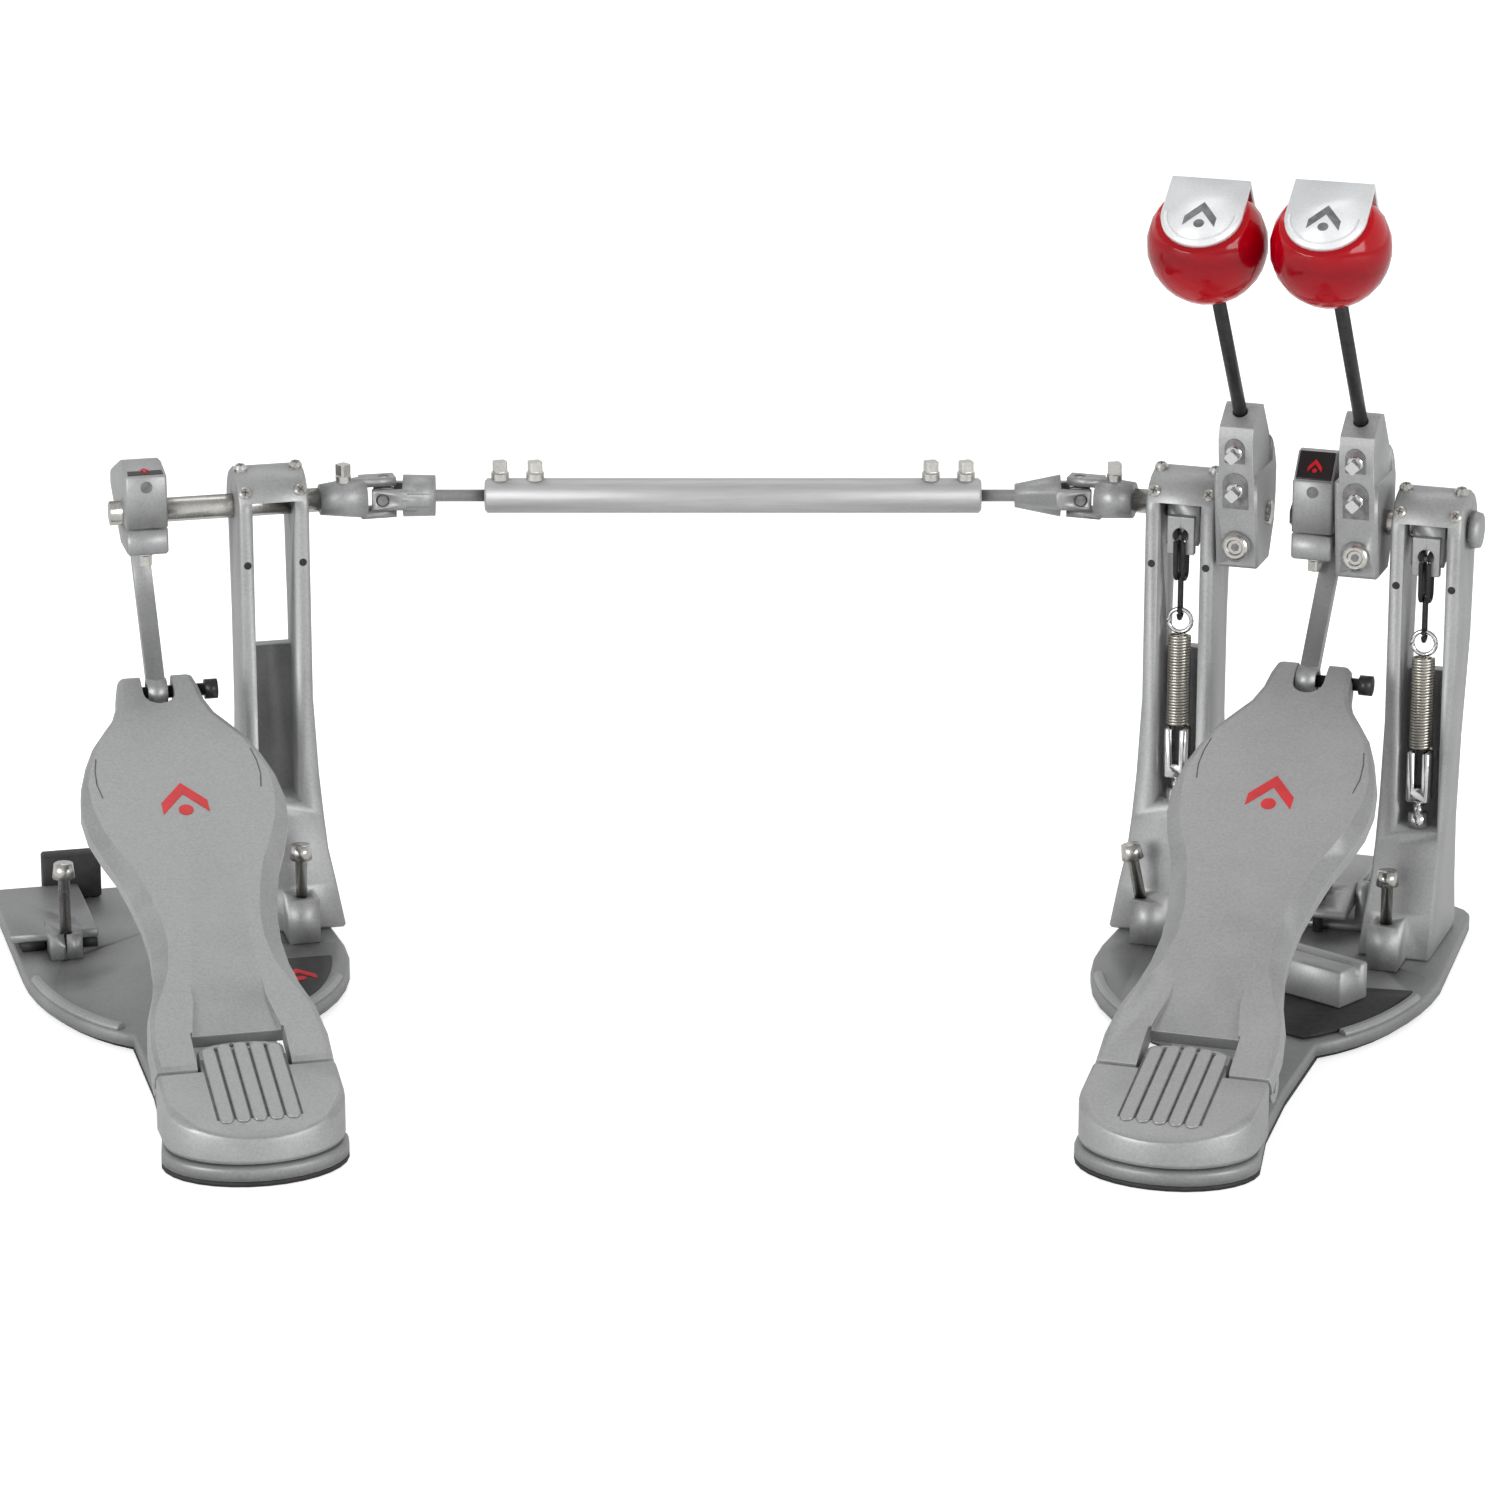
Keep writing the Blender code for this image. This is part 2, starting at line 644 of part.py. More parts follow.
def spring_hook(name, frame, column_u):
    pin_w = AXLE_HEIGHT + ROCKER_ARM * math.sin(ROCKER_REST)
    eye_ends = (HOOK_EYE_V - HOOK_EYE_LONG, HOOK_EYE_V + HOOK_EYE_LONG)
    eye = around(*[(v, pin_w, HOOK_EYE_R) for v in eye_ends], sides=16)
    body = slab(eye, HOOK_PLATE, upright(column_u))
    body = solid(f"{name}_spring_hook", body, frame, BLACK_STEEL, (column_u, HOOK_V, SPRING_TOP))
    ring_r, wire_r = 0.0046, 0.0013
    ring_w = SPRING_TOP + GAP + ring_r + wire_r
    shank = rod((column_u, HOOK_V, ring_w + ring_r), (column_u, HOOK_V, pin_w - 0.003), 0.0018, sides=12)
    ring = slab(arc((HOOK_V, ring_w), ring_r + wire_r, 0, 360, 16)[:-1], 2 * wire_r, upright(column_u))
    join(body, shank, ring)
    slack = ROCKER_PIN_R + 0.0006
    play_ends = (HOOK_EYE_V - HOOK_PLAY, HOOK_EYE_V + HOOK_PLAY)
    hole = around(*[(v, pin_w, slack) for v in play_ends], sides=12)
    inside = arc((HOOK_V, ring_w), ring_r - wire_r, 0, 360, 12)[:-1]
    cut(body, slab(hole, 0.02, upright(column_u)), slab(inside, 0.02, upright(column_u)))


def spring_set(name, frame, column_u):
    spring_hook(name, frame, column_u)
    coil = rod((column_u, HOOK_V, SPRING_FOOT), (column_u, HOOK_V, SPRING_TOP), SPRING_R, sides=18)
    solid(f"{name}_spring", coil, frame, STEEL, (column_u, HOOK_V, SPRING_FOOT))
    head = SPRING_FOOT - GAP
    low = POCKET_FLOOR + 0.0120
    clevis = box((column_u - 0.0052, HOOK_V - 0.0045, low), (column_u + 0.0052, HOOK_V + 0.0045, head))
    clevis = solid(f"{name}_spring_clevis", clevis, frame, STEEL)
    soften(clevis, 0.0012)
    cut(clevis, box((column_u - 0.0020, -0.04, low + 0.006), (column_u + 0.0020, 0, head + 0.01)))
    foot = POCKET_FLOOR + GAP
    nut_top = POCKET_FLOOR + 0.0070
    join(clevis, rod((column_u, HOOK_V, nut_top - 0.001), (column_u, HOOK_V, low + 0.001), 0.0022, sides=12))
    join(clevis, rod((column_u, HOOK_V, foot), (column_u, HOOK_V, nut_top), 0.0046, sides=6))


# ---- Beater holders and beaters ----
TILT = Matrix.Translation((0, 0, AXLE_HEIGHT)) @ Matrix.Rotation(RECLINE, 4, "X")


def beater_point(u, ahead, along):
    """A point from the beater rod's axis: ahead towards the drum, along up the rod."""
    return TILT @ Vector((u, ROD_OFFSET + ahead, along))


def holder(name, frame, holder_u):
    shape = [(-0.0175, -0.0215), (0.0020, -0.0215), (0.0105, -0.0060), (0.0125, 0.0060)]
    shape += [(0.0125, 0.0190), (0.0090, 0.0270), (-0.0085, 0.0505), (-0.0140, 0.0520)]
    shape += [(-0.0255, 0.0435), (-0.0270, 0.0380), (-0.0225, 0.0060)]
    body = slab(on_axle(shape), HOLDER_WIDE, upright(holder_u))
    body = solid(f"{name}_beater_holder", body, frame, CAST, (0, 0, AXLE_HEIGHT))
    soften(body, 0.0012)
    far = HOLDER_WIDE / 2 + 0.01
    cut(body, hexagon(holder_u - far, holder_u + far, HEX_AF + 2 * RUN))
    cut(body, rod(beater_point(holder_u, 0, -0.01), beater_point(holder_u, 0, 0.08), ROD_R + RUN, sides=16))
    boss = [(holder_u, v, AXLE_HEIGHT - 0.0110) for v in (-0.0215, -0.0100)]
    join(body, rod(*boss, 0.0060))


def beater(name, frame, holder_u, ball_at):
    start = beater_point(holder_u, 0, ROD_TAIL)
    end = beater_point(holder_u, 0, ball_at - 0.010)
    solid(f"{name}_beater_rod", rod(start, end, ROD_R, sides=14), frame, BLACK_STEEL, start)

    head = Matrix.Translation(beater_point(holder_u, 0, ball_at)) @ Matrix.Rotation(RECLINE, 4, "X")
    ball = bmesh.new()
    bmesh.ops.create_uvsphere(ball, u_segments=26, v_segments=14, radius=BALL_R, matrix=head)
    ball = solid(f"{name}_beater_ball", ball, frame, RED, tuple(head.translation))
    cut(ball, box((-0.04, -0.04, BALL_TOP), (0.04, 0.04, 0.04), head))
    cut(ball, box((-0.04, BALL_FLAT, -0.04), (0.04, 0.04, 0.04), head))
    over = beater_point(holder_u, 0, ball_at - 0.0095)
    cut(ball, rod(beater_point(holder_u, 0, ball_at - 0.04), over, ROD_R + RUN, sides=16))

    low = BALL_TOP + GAP
    top = low + INSERT_THICK
    face_in = BALL_FLAT + GAP
    face_out = face_in + INSERT_THICK
    cap = arc((0, 0), DISC_R, 180, 360, 16) + [(INSERT_HALF, face_out), (-INSERT_HALF, face_out)]
    insert = slab(cap, INSERT_THICK, head @ flat(low, top))
    insert = solid(f"{name}_beater_insert", insert, frame, STEEL, tuple(head.translation))
    join(insert, box((-INSERT_HALF, face_in, -0.013), (INSERT_HALF, face_out, top), head))


# ---- Universal joints and the drive shaft ----
def ears(centre, back, pins):
    """Two ears of a yoke: back points to its hub and pins along its pair of cross pins."""
    side = back.cross(pins)
    place = Matrix((back, pins, side)).transposed().to_4x4()
    place.translation = centre
    shapes = []
    for hand in (-1, 1):
        inner, outer = sorted((hand * EAR_IN, hand * EAR_OUT))
        shapes.append(box((-EAR_REACH, inner, -EAR_HALF), (HUB_BACK + 0.002, outer, EAR_HALF), place))
    return shapes


def yoke(name, frame, centre, back, pins, long, cone_r, tail=None):
    """A joint yoke: a hub that tapers to cone_r, its two ears and the bores for the cross."""
    hub_start = centre + back * HUB_BACK
    hub_end = centre + back * (HUB_BACK + long)
    body = rod(hub_start, hub_end, EAR_OUT + 0.0003, cone_r)
    body = solid(name, body, frame, CAST, tuple(centre))
    join(body, *ears(centre, back, pins))
    if tail:
        join(body, rod(hub_end - back * 0.001, hub_end + back * tail, SHAFT_ROD_R, sides=14))
    bore_end = pins * 0.02
    cut(body, rod(centre - bore_end, centre + bore_end, CROSS_PIN_R + (SHAFT_PLAY if tail else RUN), sides=14))
    return body


def cross(name, frame, centre, first, second):
    """The cross: two pairs of pins on a square middle."""
    reach = EAR_OUT - 0.0004
    body = rod(centre - first * reach, centre + first * reach, CROSS_PIN_R, sides=14)
    body = solid(name, body, frame, STEEL, tuple(centre))
    join(body, rod(centre - second * reach, centre + second * reach, CROSS_PIN_R, sides=14))
    place = Matrix((first, second, first.cross(second))).transposed().to_4x4()
    place.translation = centre
    half = CROSS_HALF
    join(body, box((-half, -half, -half), (half, half, half), place))


# ---- Assembly ----
primary = pedal_frame("primary_pedal", 0, 0, -PRIMARY_TOE_OUT)
primary_cross_at = Vector((PRIMARY_CROSS_U, 0, AXLE_HEIGHT))
primary_cross_at.rotate(Matrix.Rotation(-PRIMARY_TOE_OUT, 3, "Z"))
slave_cross_at = primary_cross_at - Vector((SHAFT_SPAN, 0, 0))
slave_turn = Matrix.Rotation(SLAVE_TOE_OUT, 3, "Z")
slave_at = slave_cross_at - slave_turn @ Vector((SLAVE_CROSS_U, 0, 0))
slave = pedal_frame("slave_pedal", slave_at.x, slave_at.y, SLAVE_TOE_OUT)
world = pedal_frame("drive_line", 0, 0, 0)

INNER_SPUR_U = INNER_COLUMN_U - 0.0062
OUTER_SPUR_U = OUTER_COLUMN_U - 0.0086
SLAVE_SPUR_U = SLAVE_COLUMN_U + 0.0058
SIDE_SPUR_U = -0.0430
INNER_LEAN = math.radians(-12)

left, right = (0.0880, 0.0905, 0.110), (0.0560, 0.0620, 0.105)
base_plate("primary", primary, left, right, ((INNER_SPUR_U, INNER_LEAN), (OUTER_SPUR_U,)))
left, right = (0.0640, 0.0640, 0.103), (0.0740, 0.0790, 0.100)
base_plate("slave", slave, left, right, ((SLAVE_SPUR_U,), (SIDE_SPUR_U,)))
for name, frame, slope, link_u, cam_u in (
    ("primary", primary, PRIMARY_SLOPE, PRIMARY_LINK_U, PRIMARY_CAM_U),
    ("slave", slave, SLAVE_SLOPE, SLAVE_LINK_U, SLAVE_CAM_U),
):
    heel_plate(name, frame)
    footboard(name, frame, slope)
    link(name, frame, slope, link_u)
    cam(name, frame, slope, cam_u, link_u)

column("inner", primary, INNER_COLUMN_U, (0.0120, 0.0020), INNER_SPUR_U, INNER_LEAN)
column("outer", primary, OUTER_COLUMN_U, (0.0080, -0.0068), OUTER_SPUR_U)
column("slave", slave, SLAVE_COLUMN_U, (0.0020, 0.0120), SLAVE_SPUR_U)
spur_screw("inner", primary, INNER_SPUR_U, INNER_LEAN)
spur_screw("outer", primary, OUTER_SPUR_U)
spur_screw("slave", slave, SLAVE_SPUR_U)
spur_screw("side", slave, SIDE_SPUR_U)

for name, column_u in (("inner", INNER_COLUMN_U), ("outer", OUTER_COLUMN_U)):
    rocker(name, primary, column_u)
    spring_set(name, primary, column_u)
for name, holder_u, ball_at in (
    ("left", LEFT_HOLDER_U, LEFT_BALL_AT),
    ("right", RIGHT_HOLDER_U, RIGHT_BALL_AT),
):
    holder(name, primary, holder_u)
    beater(name, primary, holder_u, ball_at)

# The three hexagon axles: slave, inner (driven by the shaft) and primary.
axle_origin = (0, 0, AXLE_HEIGHT)
SLAVE_AXLE = (SLAVE_CAM_U - CAM_WIDE / 2 - 0.005, SLAVE_CROSS_U - HUB_BACK - 0.0205)
INNER_AXLE = (PRIMARY_CROSS_U + HUB_BACK + 0.0165, LEFT_HOLDER_U + HOLDER_WIDE / 2 + 0.001)
PRIMARY_AXLE = (PRIMARY_CAM_U - CAM_WIDE / 2 - 0.004, OUTER_COLUMN_U + COLUMN_HALF + 0.001)
for name, frame, ends in (
    ("slave", slave, SLAVE_AXLE),
    ("inner", primary, INNER_AXLE),
    ("primary", primary, PRIMARY_AXLE),
):
    solid(f"{name}_axle", hexagon(*ends, HEX_AF), frame, STEEL, axle_origin)
cap_u = PRIMARY_AXLE[1] + GAP
end_cap = rod((cap_u, 0, AXLE_HEIGHT), (cap_u + 0.004, 0, AXLE_HEIGHT), 0.0085, 0.0075)
solid("axle_end_cap", end_cap, primary, CAST, axle_origin)

# Universal joints: the axle yokes' pins stand upright, the shaft yokes' pins lie level.
up = Vector((0, 0, 1))
east = Vector((1, 0, 0))
north = Vector((0, 1, 0))
slave_centre = Vector((SLAVE_CROSS_U, 0, AXLE_HEIGHT))
primary_centre = Vector((PRIMARY_CROSS_U, 0, AXLE_HEIGHT))
yoke("slave_yoke", slave, slave_centre, -east, up, 0.0200, 0.0068)
yoke("inner_yoke", primary, primary_centre, east, up, 0.0160, 0.0080)
level = slave_turn.inverted() @ north
cross("slave_cross", slave, slave_centre, up, level)
level = Matrix.Rotation(PRIMARY_TOE_OUT, 3, "Z") @ north
cross("primary_cross", primary, primary_centre, up, level)

tube_start = slave_cross_at + east * TUBE_INSET_LEFT
tube_end = primary_cross_at - east * TUBE_INSET_RIGHT
hub_long = 0.0140
rod_left = TUBE_INSET_LEFT - HUB_BACK - hub_long + ROD_IN_TUBE
rod_right = TUBE_INSET_RIGHT - HUB_BACK - 0.0200 + ROD_IN_TUBE
yoke("slave_shaft_rod", world, slave_cross_at, east, north, hub_long, EAR_OUT, tail=rod_left)
yoke("primary_shaft_rod", world, primary_cross_at, -east, north, 0.0200, 0.0052, tail=rod_right)
tube = solid("drive_tube", rod(tube_start, tube_end, TUBE_R), world, CAST, tuple(tube_start))
soften(tube, 0.0012)
cut(tube, rod(tube_start - east * 0.01, tube_end + east * 0.01, SHAFT_ROD_R + RUN, sides=16))

# Hoop clamp at the front of the primary plate: bracket, rocking jaw, rubber pad and screw.
CLAMP_U = -0.004
CLAMP_HALF = 0.0150
CLAMP_AXIS = (0.0160, 0.0240)  # (v, w) of the jaw's pin
CLAMP_PIN_R = 0.0022
CLAMP_SCREW_V = 0.0040
JAW_EYE_R = 0.0050
JAW_RISE = math.radians(6)
cheek_shape = around((*CLAMP_AXIS, 0.0055), (0.0085, ON_PLATE, 0), (0.0260, ON_PLATE, 0), sides=16)
cheek_out = CLAMP_HALF + 0.0053
foot = box((CLAMP_U - cheek_out, 0.0085, ON_PLATE), (CLAMP_U + cheek_out, 0.0260, ON_PLATE + 0.0030))
bracket = solid("hoop_clamp_bracket", foot, primary, CAST)
for hand in (-1, 1):
    join(bracket, slab(cheek_shape, 0.0048, upright(CLAMP_U + hand * (CLAMP_HALF + 0.0027))))
clamp_axle = [(CLAMP_U + hand * (cheek_out - 0.001), *CLAMP_AXIS) for hand in (-1, 1)]
join(bracket, rod(*clamp_axle, CLAMP_PIN_R, sides=14))

jaw_place = Matrix.Translation((CLAMP_U, CLAMP_AXIS[0], CLAMP_AXIS[1] - JAW_EYE_R))
jaw_place = jaw_place @ Matrix.Rotation(JAW_RISE, 4, "X")
jaw_shape = around((0, JAW_EYE_R, JAW_EYE_R), (-0.0190, 0.0020, 0.0020), (0.0400, 0.0025, 0.0025), sides=16)
jaw = slab(jaw_shape, 2 * CLAMP_HALF - 0.0006, jaw_place @ SIDE)
jaw = solid("hoop_clamp_jaw", jaw, primary, CAST, (CLAMP_U, *CLAMP_AXIS))
soften(jaw, 0.0008)
jaw_ends = [(CLAMP_U + hand * 0.04, *CLAMP_AXIS) for hand in (-1, 1)]
screw_axis = [(CLAMP_U, CLAMP_SCREW_V, w) for w in (0, 0.05)]
cut(jaw, rod(*jaw_ends, CLAMP_PIN_R + RUN, sides=16), rod(*screw_axis, 0.0024 + 0.0009, sides=14))
pad = box((-0.0135, 0.0240, -0.0035 - GAP), (0.0135, 0.0415, -GAP), jaw_place)
solid("hoop_clamp_pad", pad, primary, RUBBER)
screw_low = (CLAMP_U, CLAMP_SCREW_V, ON_PLATE)
screw_neck = (CLAMP_U, CLAMP_SCREW_V, 0.0305)
clamp_screw = rod(screw_low, screw_neck, 0.0024, sides=14)
clamp_screw = solid("hoop_clamp_screw", clamp_screw, primary, STEEL, screw_low)
screw_head = [(CLAMP_U, CLAMP_SCREW_V, w) for w in (0.0285, 0.0355)]
join(clamp_screw, rod(*screw_head, 0.0060, 0.0050, sides=18))

# The drum key's holder and the ribbed mat on the primary plate.
mat_top = ON_PLATE + 0.0015
mat = arc((0, PLATE_ARC_V), (0.0555, 0.0985), -12, -66, 8) + [(0.0030, -0.1250), (0.0030, -0.0700)]
solid("plate_mat", slab(mat, 0.0015, flat(ON_PLATE, mat_top)), primary, RUBBER)
key_place = Matrix.Translation((0.0110, -0.0780, mat_top + GAP)) @ Matrix.Rotation(math.radians(-23.5), 4, "Z")
key_block = box((-0.025, -0.010, 0), (0.025, 0.010, 0.0165), key_place)
key_block = soften(solid("key_holder", key_block, primary, CAST), 0.0010)
cut(key_block, box((-0.03, 0.0005, 0.0115), (0.03, 0.0045, 0.03), key_place))

# The slave plate's side foot, with its own spur screw, rubber pads and a rear bumper.
foot_low, foot_high = (-0.0660, -0.0200, ON_PLATE + 0.0042), (-0.0270, 0.0440, 0.0165)
side_foot = soften(solid("side_foot", box(foot_low, foot_high), slave, CAST), 0.0008)
spur_half = SPUR_BLOCK / 2
side_block_low = (SIDE_SPUR_U - spur_half, -SPUR_FRONT - spur_half + 0.004, ON_PLATE)
join(side_foot, box(side_block_low, (SIDE_SPUR_U + spur_half, -0.0120, 0.0200)))
cut(side_foot, spur_hole(SIDE_SPUR_U))
pad_high = (foot_high[0] - 0.0005, foot_high[1] - 0.001, foot_low[2] - GAP)
rubber = box((foot_low[0] + 0.0050, foot_low[1] + 0.0003, ON_PLATE), pad_high)
rubber = solid("side_foot_rubber", rubber, slave, RUBBER)
slot_low = (SIDE_SPUR_U - spur_half - 0.001, -0.05, 0)
cut(rubber, box(slot_low, (SIDE_SPUR_U + spur_half + 0.001, -0.010, 0.03)))
bumper = box((-0.0420, 0.0460, ON_PLATE), (-0.0160, 0.0560, 0.0290))
soften(solid("rear_bumper", bumper, slave, RUBBER), 0.0010)
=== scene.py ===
"""Looks of a twin bass drum pedal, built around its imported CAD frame."""

import json
import math

import bmesh
import bpy
from mathutils import Matrix, Vector


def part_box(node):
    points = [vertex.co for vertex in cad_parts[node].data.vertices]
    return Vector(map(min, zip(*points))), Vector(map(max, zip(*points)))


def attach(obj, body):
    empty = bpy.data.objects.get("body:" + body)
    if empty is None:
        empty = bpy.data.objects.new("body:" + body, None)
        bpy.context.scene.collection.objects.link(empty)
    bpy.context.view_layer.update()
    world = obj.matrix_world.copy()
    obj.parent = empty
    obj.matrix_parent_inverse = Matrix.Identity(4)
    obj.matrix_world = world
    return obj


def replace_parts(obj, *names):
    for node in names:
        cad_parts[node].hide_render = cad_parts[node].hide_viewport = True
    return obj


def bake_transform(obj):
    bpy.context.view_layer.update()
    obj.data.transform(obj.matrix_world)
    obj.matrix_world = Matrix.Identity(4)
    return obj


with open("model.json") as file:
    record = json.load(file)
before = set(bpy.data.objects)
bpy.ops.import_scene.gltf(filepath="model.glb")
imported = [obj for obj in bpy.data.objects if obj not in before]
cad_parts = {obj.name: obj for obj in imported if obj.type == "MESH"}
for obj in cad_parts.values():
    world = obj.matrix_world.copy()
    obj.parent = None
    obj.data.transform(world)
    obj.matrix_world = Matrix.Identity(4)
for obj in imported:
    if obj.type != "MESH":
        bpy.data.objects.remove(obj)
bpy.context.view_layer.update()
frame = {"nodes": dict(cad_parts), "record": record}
NODES = frame["nodes"]

# ---- The two pedals' own frames: u along the axle, v towards the drum, w up ----
PRIMARY = Matrix.Rotation(math.radians(-18.5), 4, "Z")
SLAVE = Matrix.Translation((-0.520513, 0.010584, 0)) @ Matrix.Rotation(math.radians(14), 4, "Z")
AXLE_W = 0.200
SEAM = Vector((0, -0.250, 0.0335))
HEEL_SLOPE = math.radians(15.5)
BOARD_SLOPE = {"primary": math.radians(27.2), "slave": math.radians(24.6)}
PEDAL = {"primary": PRIMARY, "slave": SLAVE}
BASE = {"primary": "primary_base", "slave": "slave_base"}
RECLINE = math.radians(36)
COLUMNS = (
    ("inner", "primary", -0.0658, "primary_base"),
    ("outer", "primary", 0.0432, "primary_base"),
    ("slave", "slave", 0.0562, "slave_base"),
)
HOLDERS = (("left", -0.0396, "driven_axle"), ("right", 0.0136, "beater_axle"))


# ---- Materials: every one is worked out from object coordinates ----
def shader(name):
    """A new material, with a function that adds a node and one that links two sockets."""
    made = bpy.data.materials.new(name)
    made.use_nodes = True
    tree = made.node_tree
    tree.nodes.clear()

    def add(kind, **inputs):
        node = tree.nodes.new("ShaderNode" + kind)
        for key, value in inputs.items():
            node.inputs[key.replace("_", " ")].default_value = value
        return node

    def wire(start, end):
        tree.links.new(start, end)

    surface = add("BsdfPrincipled")
    wire(surface.outputs[0], add("OutputMaterial").inputs["Surface"])
    return made, surface, add, wire


def ramp(add, wire, value, stops):
    node = add("ValToRGB")
    node.color_ramp.elements[0].position = stops[0][0]
    node.color_ramp.elements[1].position = stops[-1][0]
    for place, colour in stops[1:-1]:
        node.color_ramp.elements.new(place)
    for element, (place, colour) in zip(node.color_ramp.elements, stops):
        element.position = place
        element.color = (*colour, 1)
    wire(value, node.inputs["Fac"])
    return node.outputs["Color"]


def noise(add, wire, scale, detail=3.0, stretch=(1, 1, 1)):
    place = add("TexCoord")
    turn = add("Mapping", Scale=stretch)
    wire(place.outputs["Object"], turn.inputs["Vector"])
    made = add("TexNoise", Scale=scale, Detail=detail)
    wire(turn.outputs["Vector"], made.inputs["Vector"])
    return made.outputs["Fac"]


def bump(add, wire, surface, height, strength, distance):
    node = add("Bump", Strength=strength, Distance=distance)
    wire(height, node.inputs["Height"])
    wire(node.outputs["Normal"], surface.inputs["Normal"])
    return node


def metal(name, dark, light, rough, metallic=1.0, grain=900.0, relief=0.25, edge=None, stretch=(1, 1, 1)):
    """A metal with cloudy colour, a fine surface and, where edge is given, paler edges: a painted highlight
    along its rims.
    """
    made, surface, add, wire = shader(name)
    surface.inputs["Metallic"].default_value = metallic
    cloud = noise(add, wire, 38.0, 5.0, stretch)
    fine = noise(add, wire, grain, 2.0, stretch)
    both = add("Math")
    both.operation = "MULTIPLY_ADD"
    both.inputs[1].default_value = 0.45
    wire(fine, both.inputs[0])
    half = add("Math")
    half.operation = "MULTIPLY"
    half.inputs[1].default_value = 0.55
    wire(cloud, half.inputs[0])
    wire(half.outputs[0], both.inputs[2])
    colour = ramp(add, wire, both.outputs[0], ((0.36, dark), (0.64, light)))
    surface.inputs["Roughness"].default_value = rough
    low, high = rough - 0.06, rough + 0.08
    sheen = ramp(add, wire, cloud, ((0.35, (low,) * 3), (0.65, (high,) * 3)))
    wire(sheen, surface.inputs["Roughness"])
    raised = bump(add, wire, surface, fine, relief, 0.00012)
    if edge:
        rounded = add("Bevel", Radius=0.0006)
        rounded.samples = 4
        wire(rounded.outputs["Normal"], raised.inputs["Normal"])
        # Painted highlight: the colour turns to the paler edge colour where the bevel's rounded normal leaves
        # the face's own normal.
        facing = add("NewGeometry")
        across = add("VectorMath")
        across.operation = "DOT_PRODUCT"
        wire(rounded.outputs["Normal"], across.inputs[0])
        wire(facing.outputs["Normal"], across.inputs[1])
        edge_highlight = ramp(add, wire, across.outputs["Value"], ((0.72, (1, 1, 1)), (0.985, (0, 0, 0))))
        mixed = add("MixRGB")
        mixed.inputs["Color2"].default_value = (*edge, 1)
        wire(edge_highlight, mixed.inputs["Fac"])
        wire(colour, mixed.inputs["Color1"])
        colour = mixed.outputs["Color"]
    wire(colour, surface.inputs["Base Color"])
    return made


def plain(name, colour, rough, metallic=0.0, grain=300.0, relief=0.1, spread=0.25):
    """A painted, rubber or plastic surface with a slight change of colour and a fine texture."""
    made, surface, add, wire = shader(name)
    surface.inputs["Metallic"].default_value = metallic
    surface.inputs["Roughness"].default_value = rough
    fine = noise(add, wire, grain, 3.0)
    darker = tuple(part * (1 - spread) for part in colour)
    lighter = tuple(min(1, part * (1 + spread)) for part in colour)
    wire(ramp(add, wire, fine, ((0.35, darker), (0.65, lighter))), surface.inputs["Base Color"])
    bump(add, wire, surface, fine, relief, 0.0002)
    return made


# CAST and PLATE carry the painted edge highlight in their paler edge colour.
CAST = metal("die_cast", (0.33, 0.333, 0.335), (0.42, 0.423, 0.425), 0.46, 0.6, edge=(0.54, 0.543, 0.545))
PLATE = metal("cast_plate", (0.25, 0.253, 0.256), (0.33, 0.333, 0.336), 0.48, 0.6, edge=(0.50, 0.503, 0.506))
TUBE = metal("drawn_tube", (0.46, 0.46, 0.46), (0.54, 0.54, 0.54), 0.50, 0.55, stretch=(0.06, 1, 1))
STEEL = metal("nickel_steel", (0.50, 0.49, 0.46), (0.66, 0.65, 0.62), 0.24, 1.0, relief=0.1)
CHROME = metal("bright_chrome", (0.68, 0.68, 0.68), (0.80, 0.80, 0.80), 0.13, 1.0, relief=0.04)
SPRING = metal("spring_wire", (0.36, 0.34, 0.30), (0.50, 0.48, 0.43), 0.32, 1.0, relief=0.1)
SILVER = metal("disc_silver", (0.78, 0.79, 0.80), (0.88, 0.89, 0.90), 0.38, 0.25, relief=0.1)
BLACK = plain("black_coat", (0.022, 0.022, 0.024), 0.34, 0.3)
RUBBER = plain("black_rubber", (0.018, 0.018, 0.018), 0.62, relief=0.4)
# Painted shade: a flat dark grey laid in creases, grooves, dots and screw recesses where shadow falls.
GROOVE_SHADOW = plain("shadow_grey", (0.10, 0.10, 0.10), 0.6)
# Painted shade: a darker copy of the casting for recesses, dimples and the disc's engraving; the joints' pin
# ends take the same grey.
SHADE = plain("shaded_casting_grey", (0.20, 0.20, 0.205), 0.5, 0.5)
LABEL = plain("label_black", (0.012, 0.012, 0.013), 0.30, grain=80.0)
MARK = plain("mark_red", (0.55, 0.008, 0.014), 0.32, grain=120.0, spread=0.12)


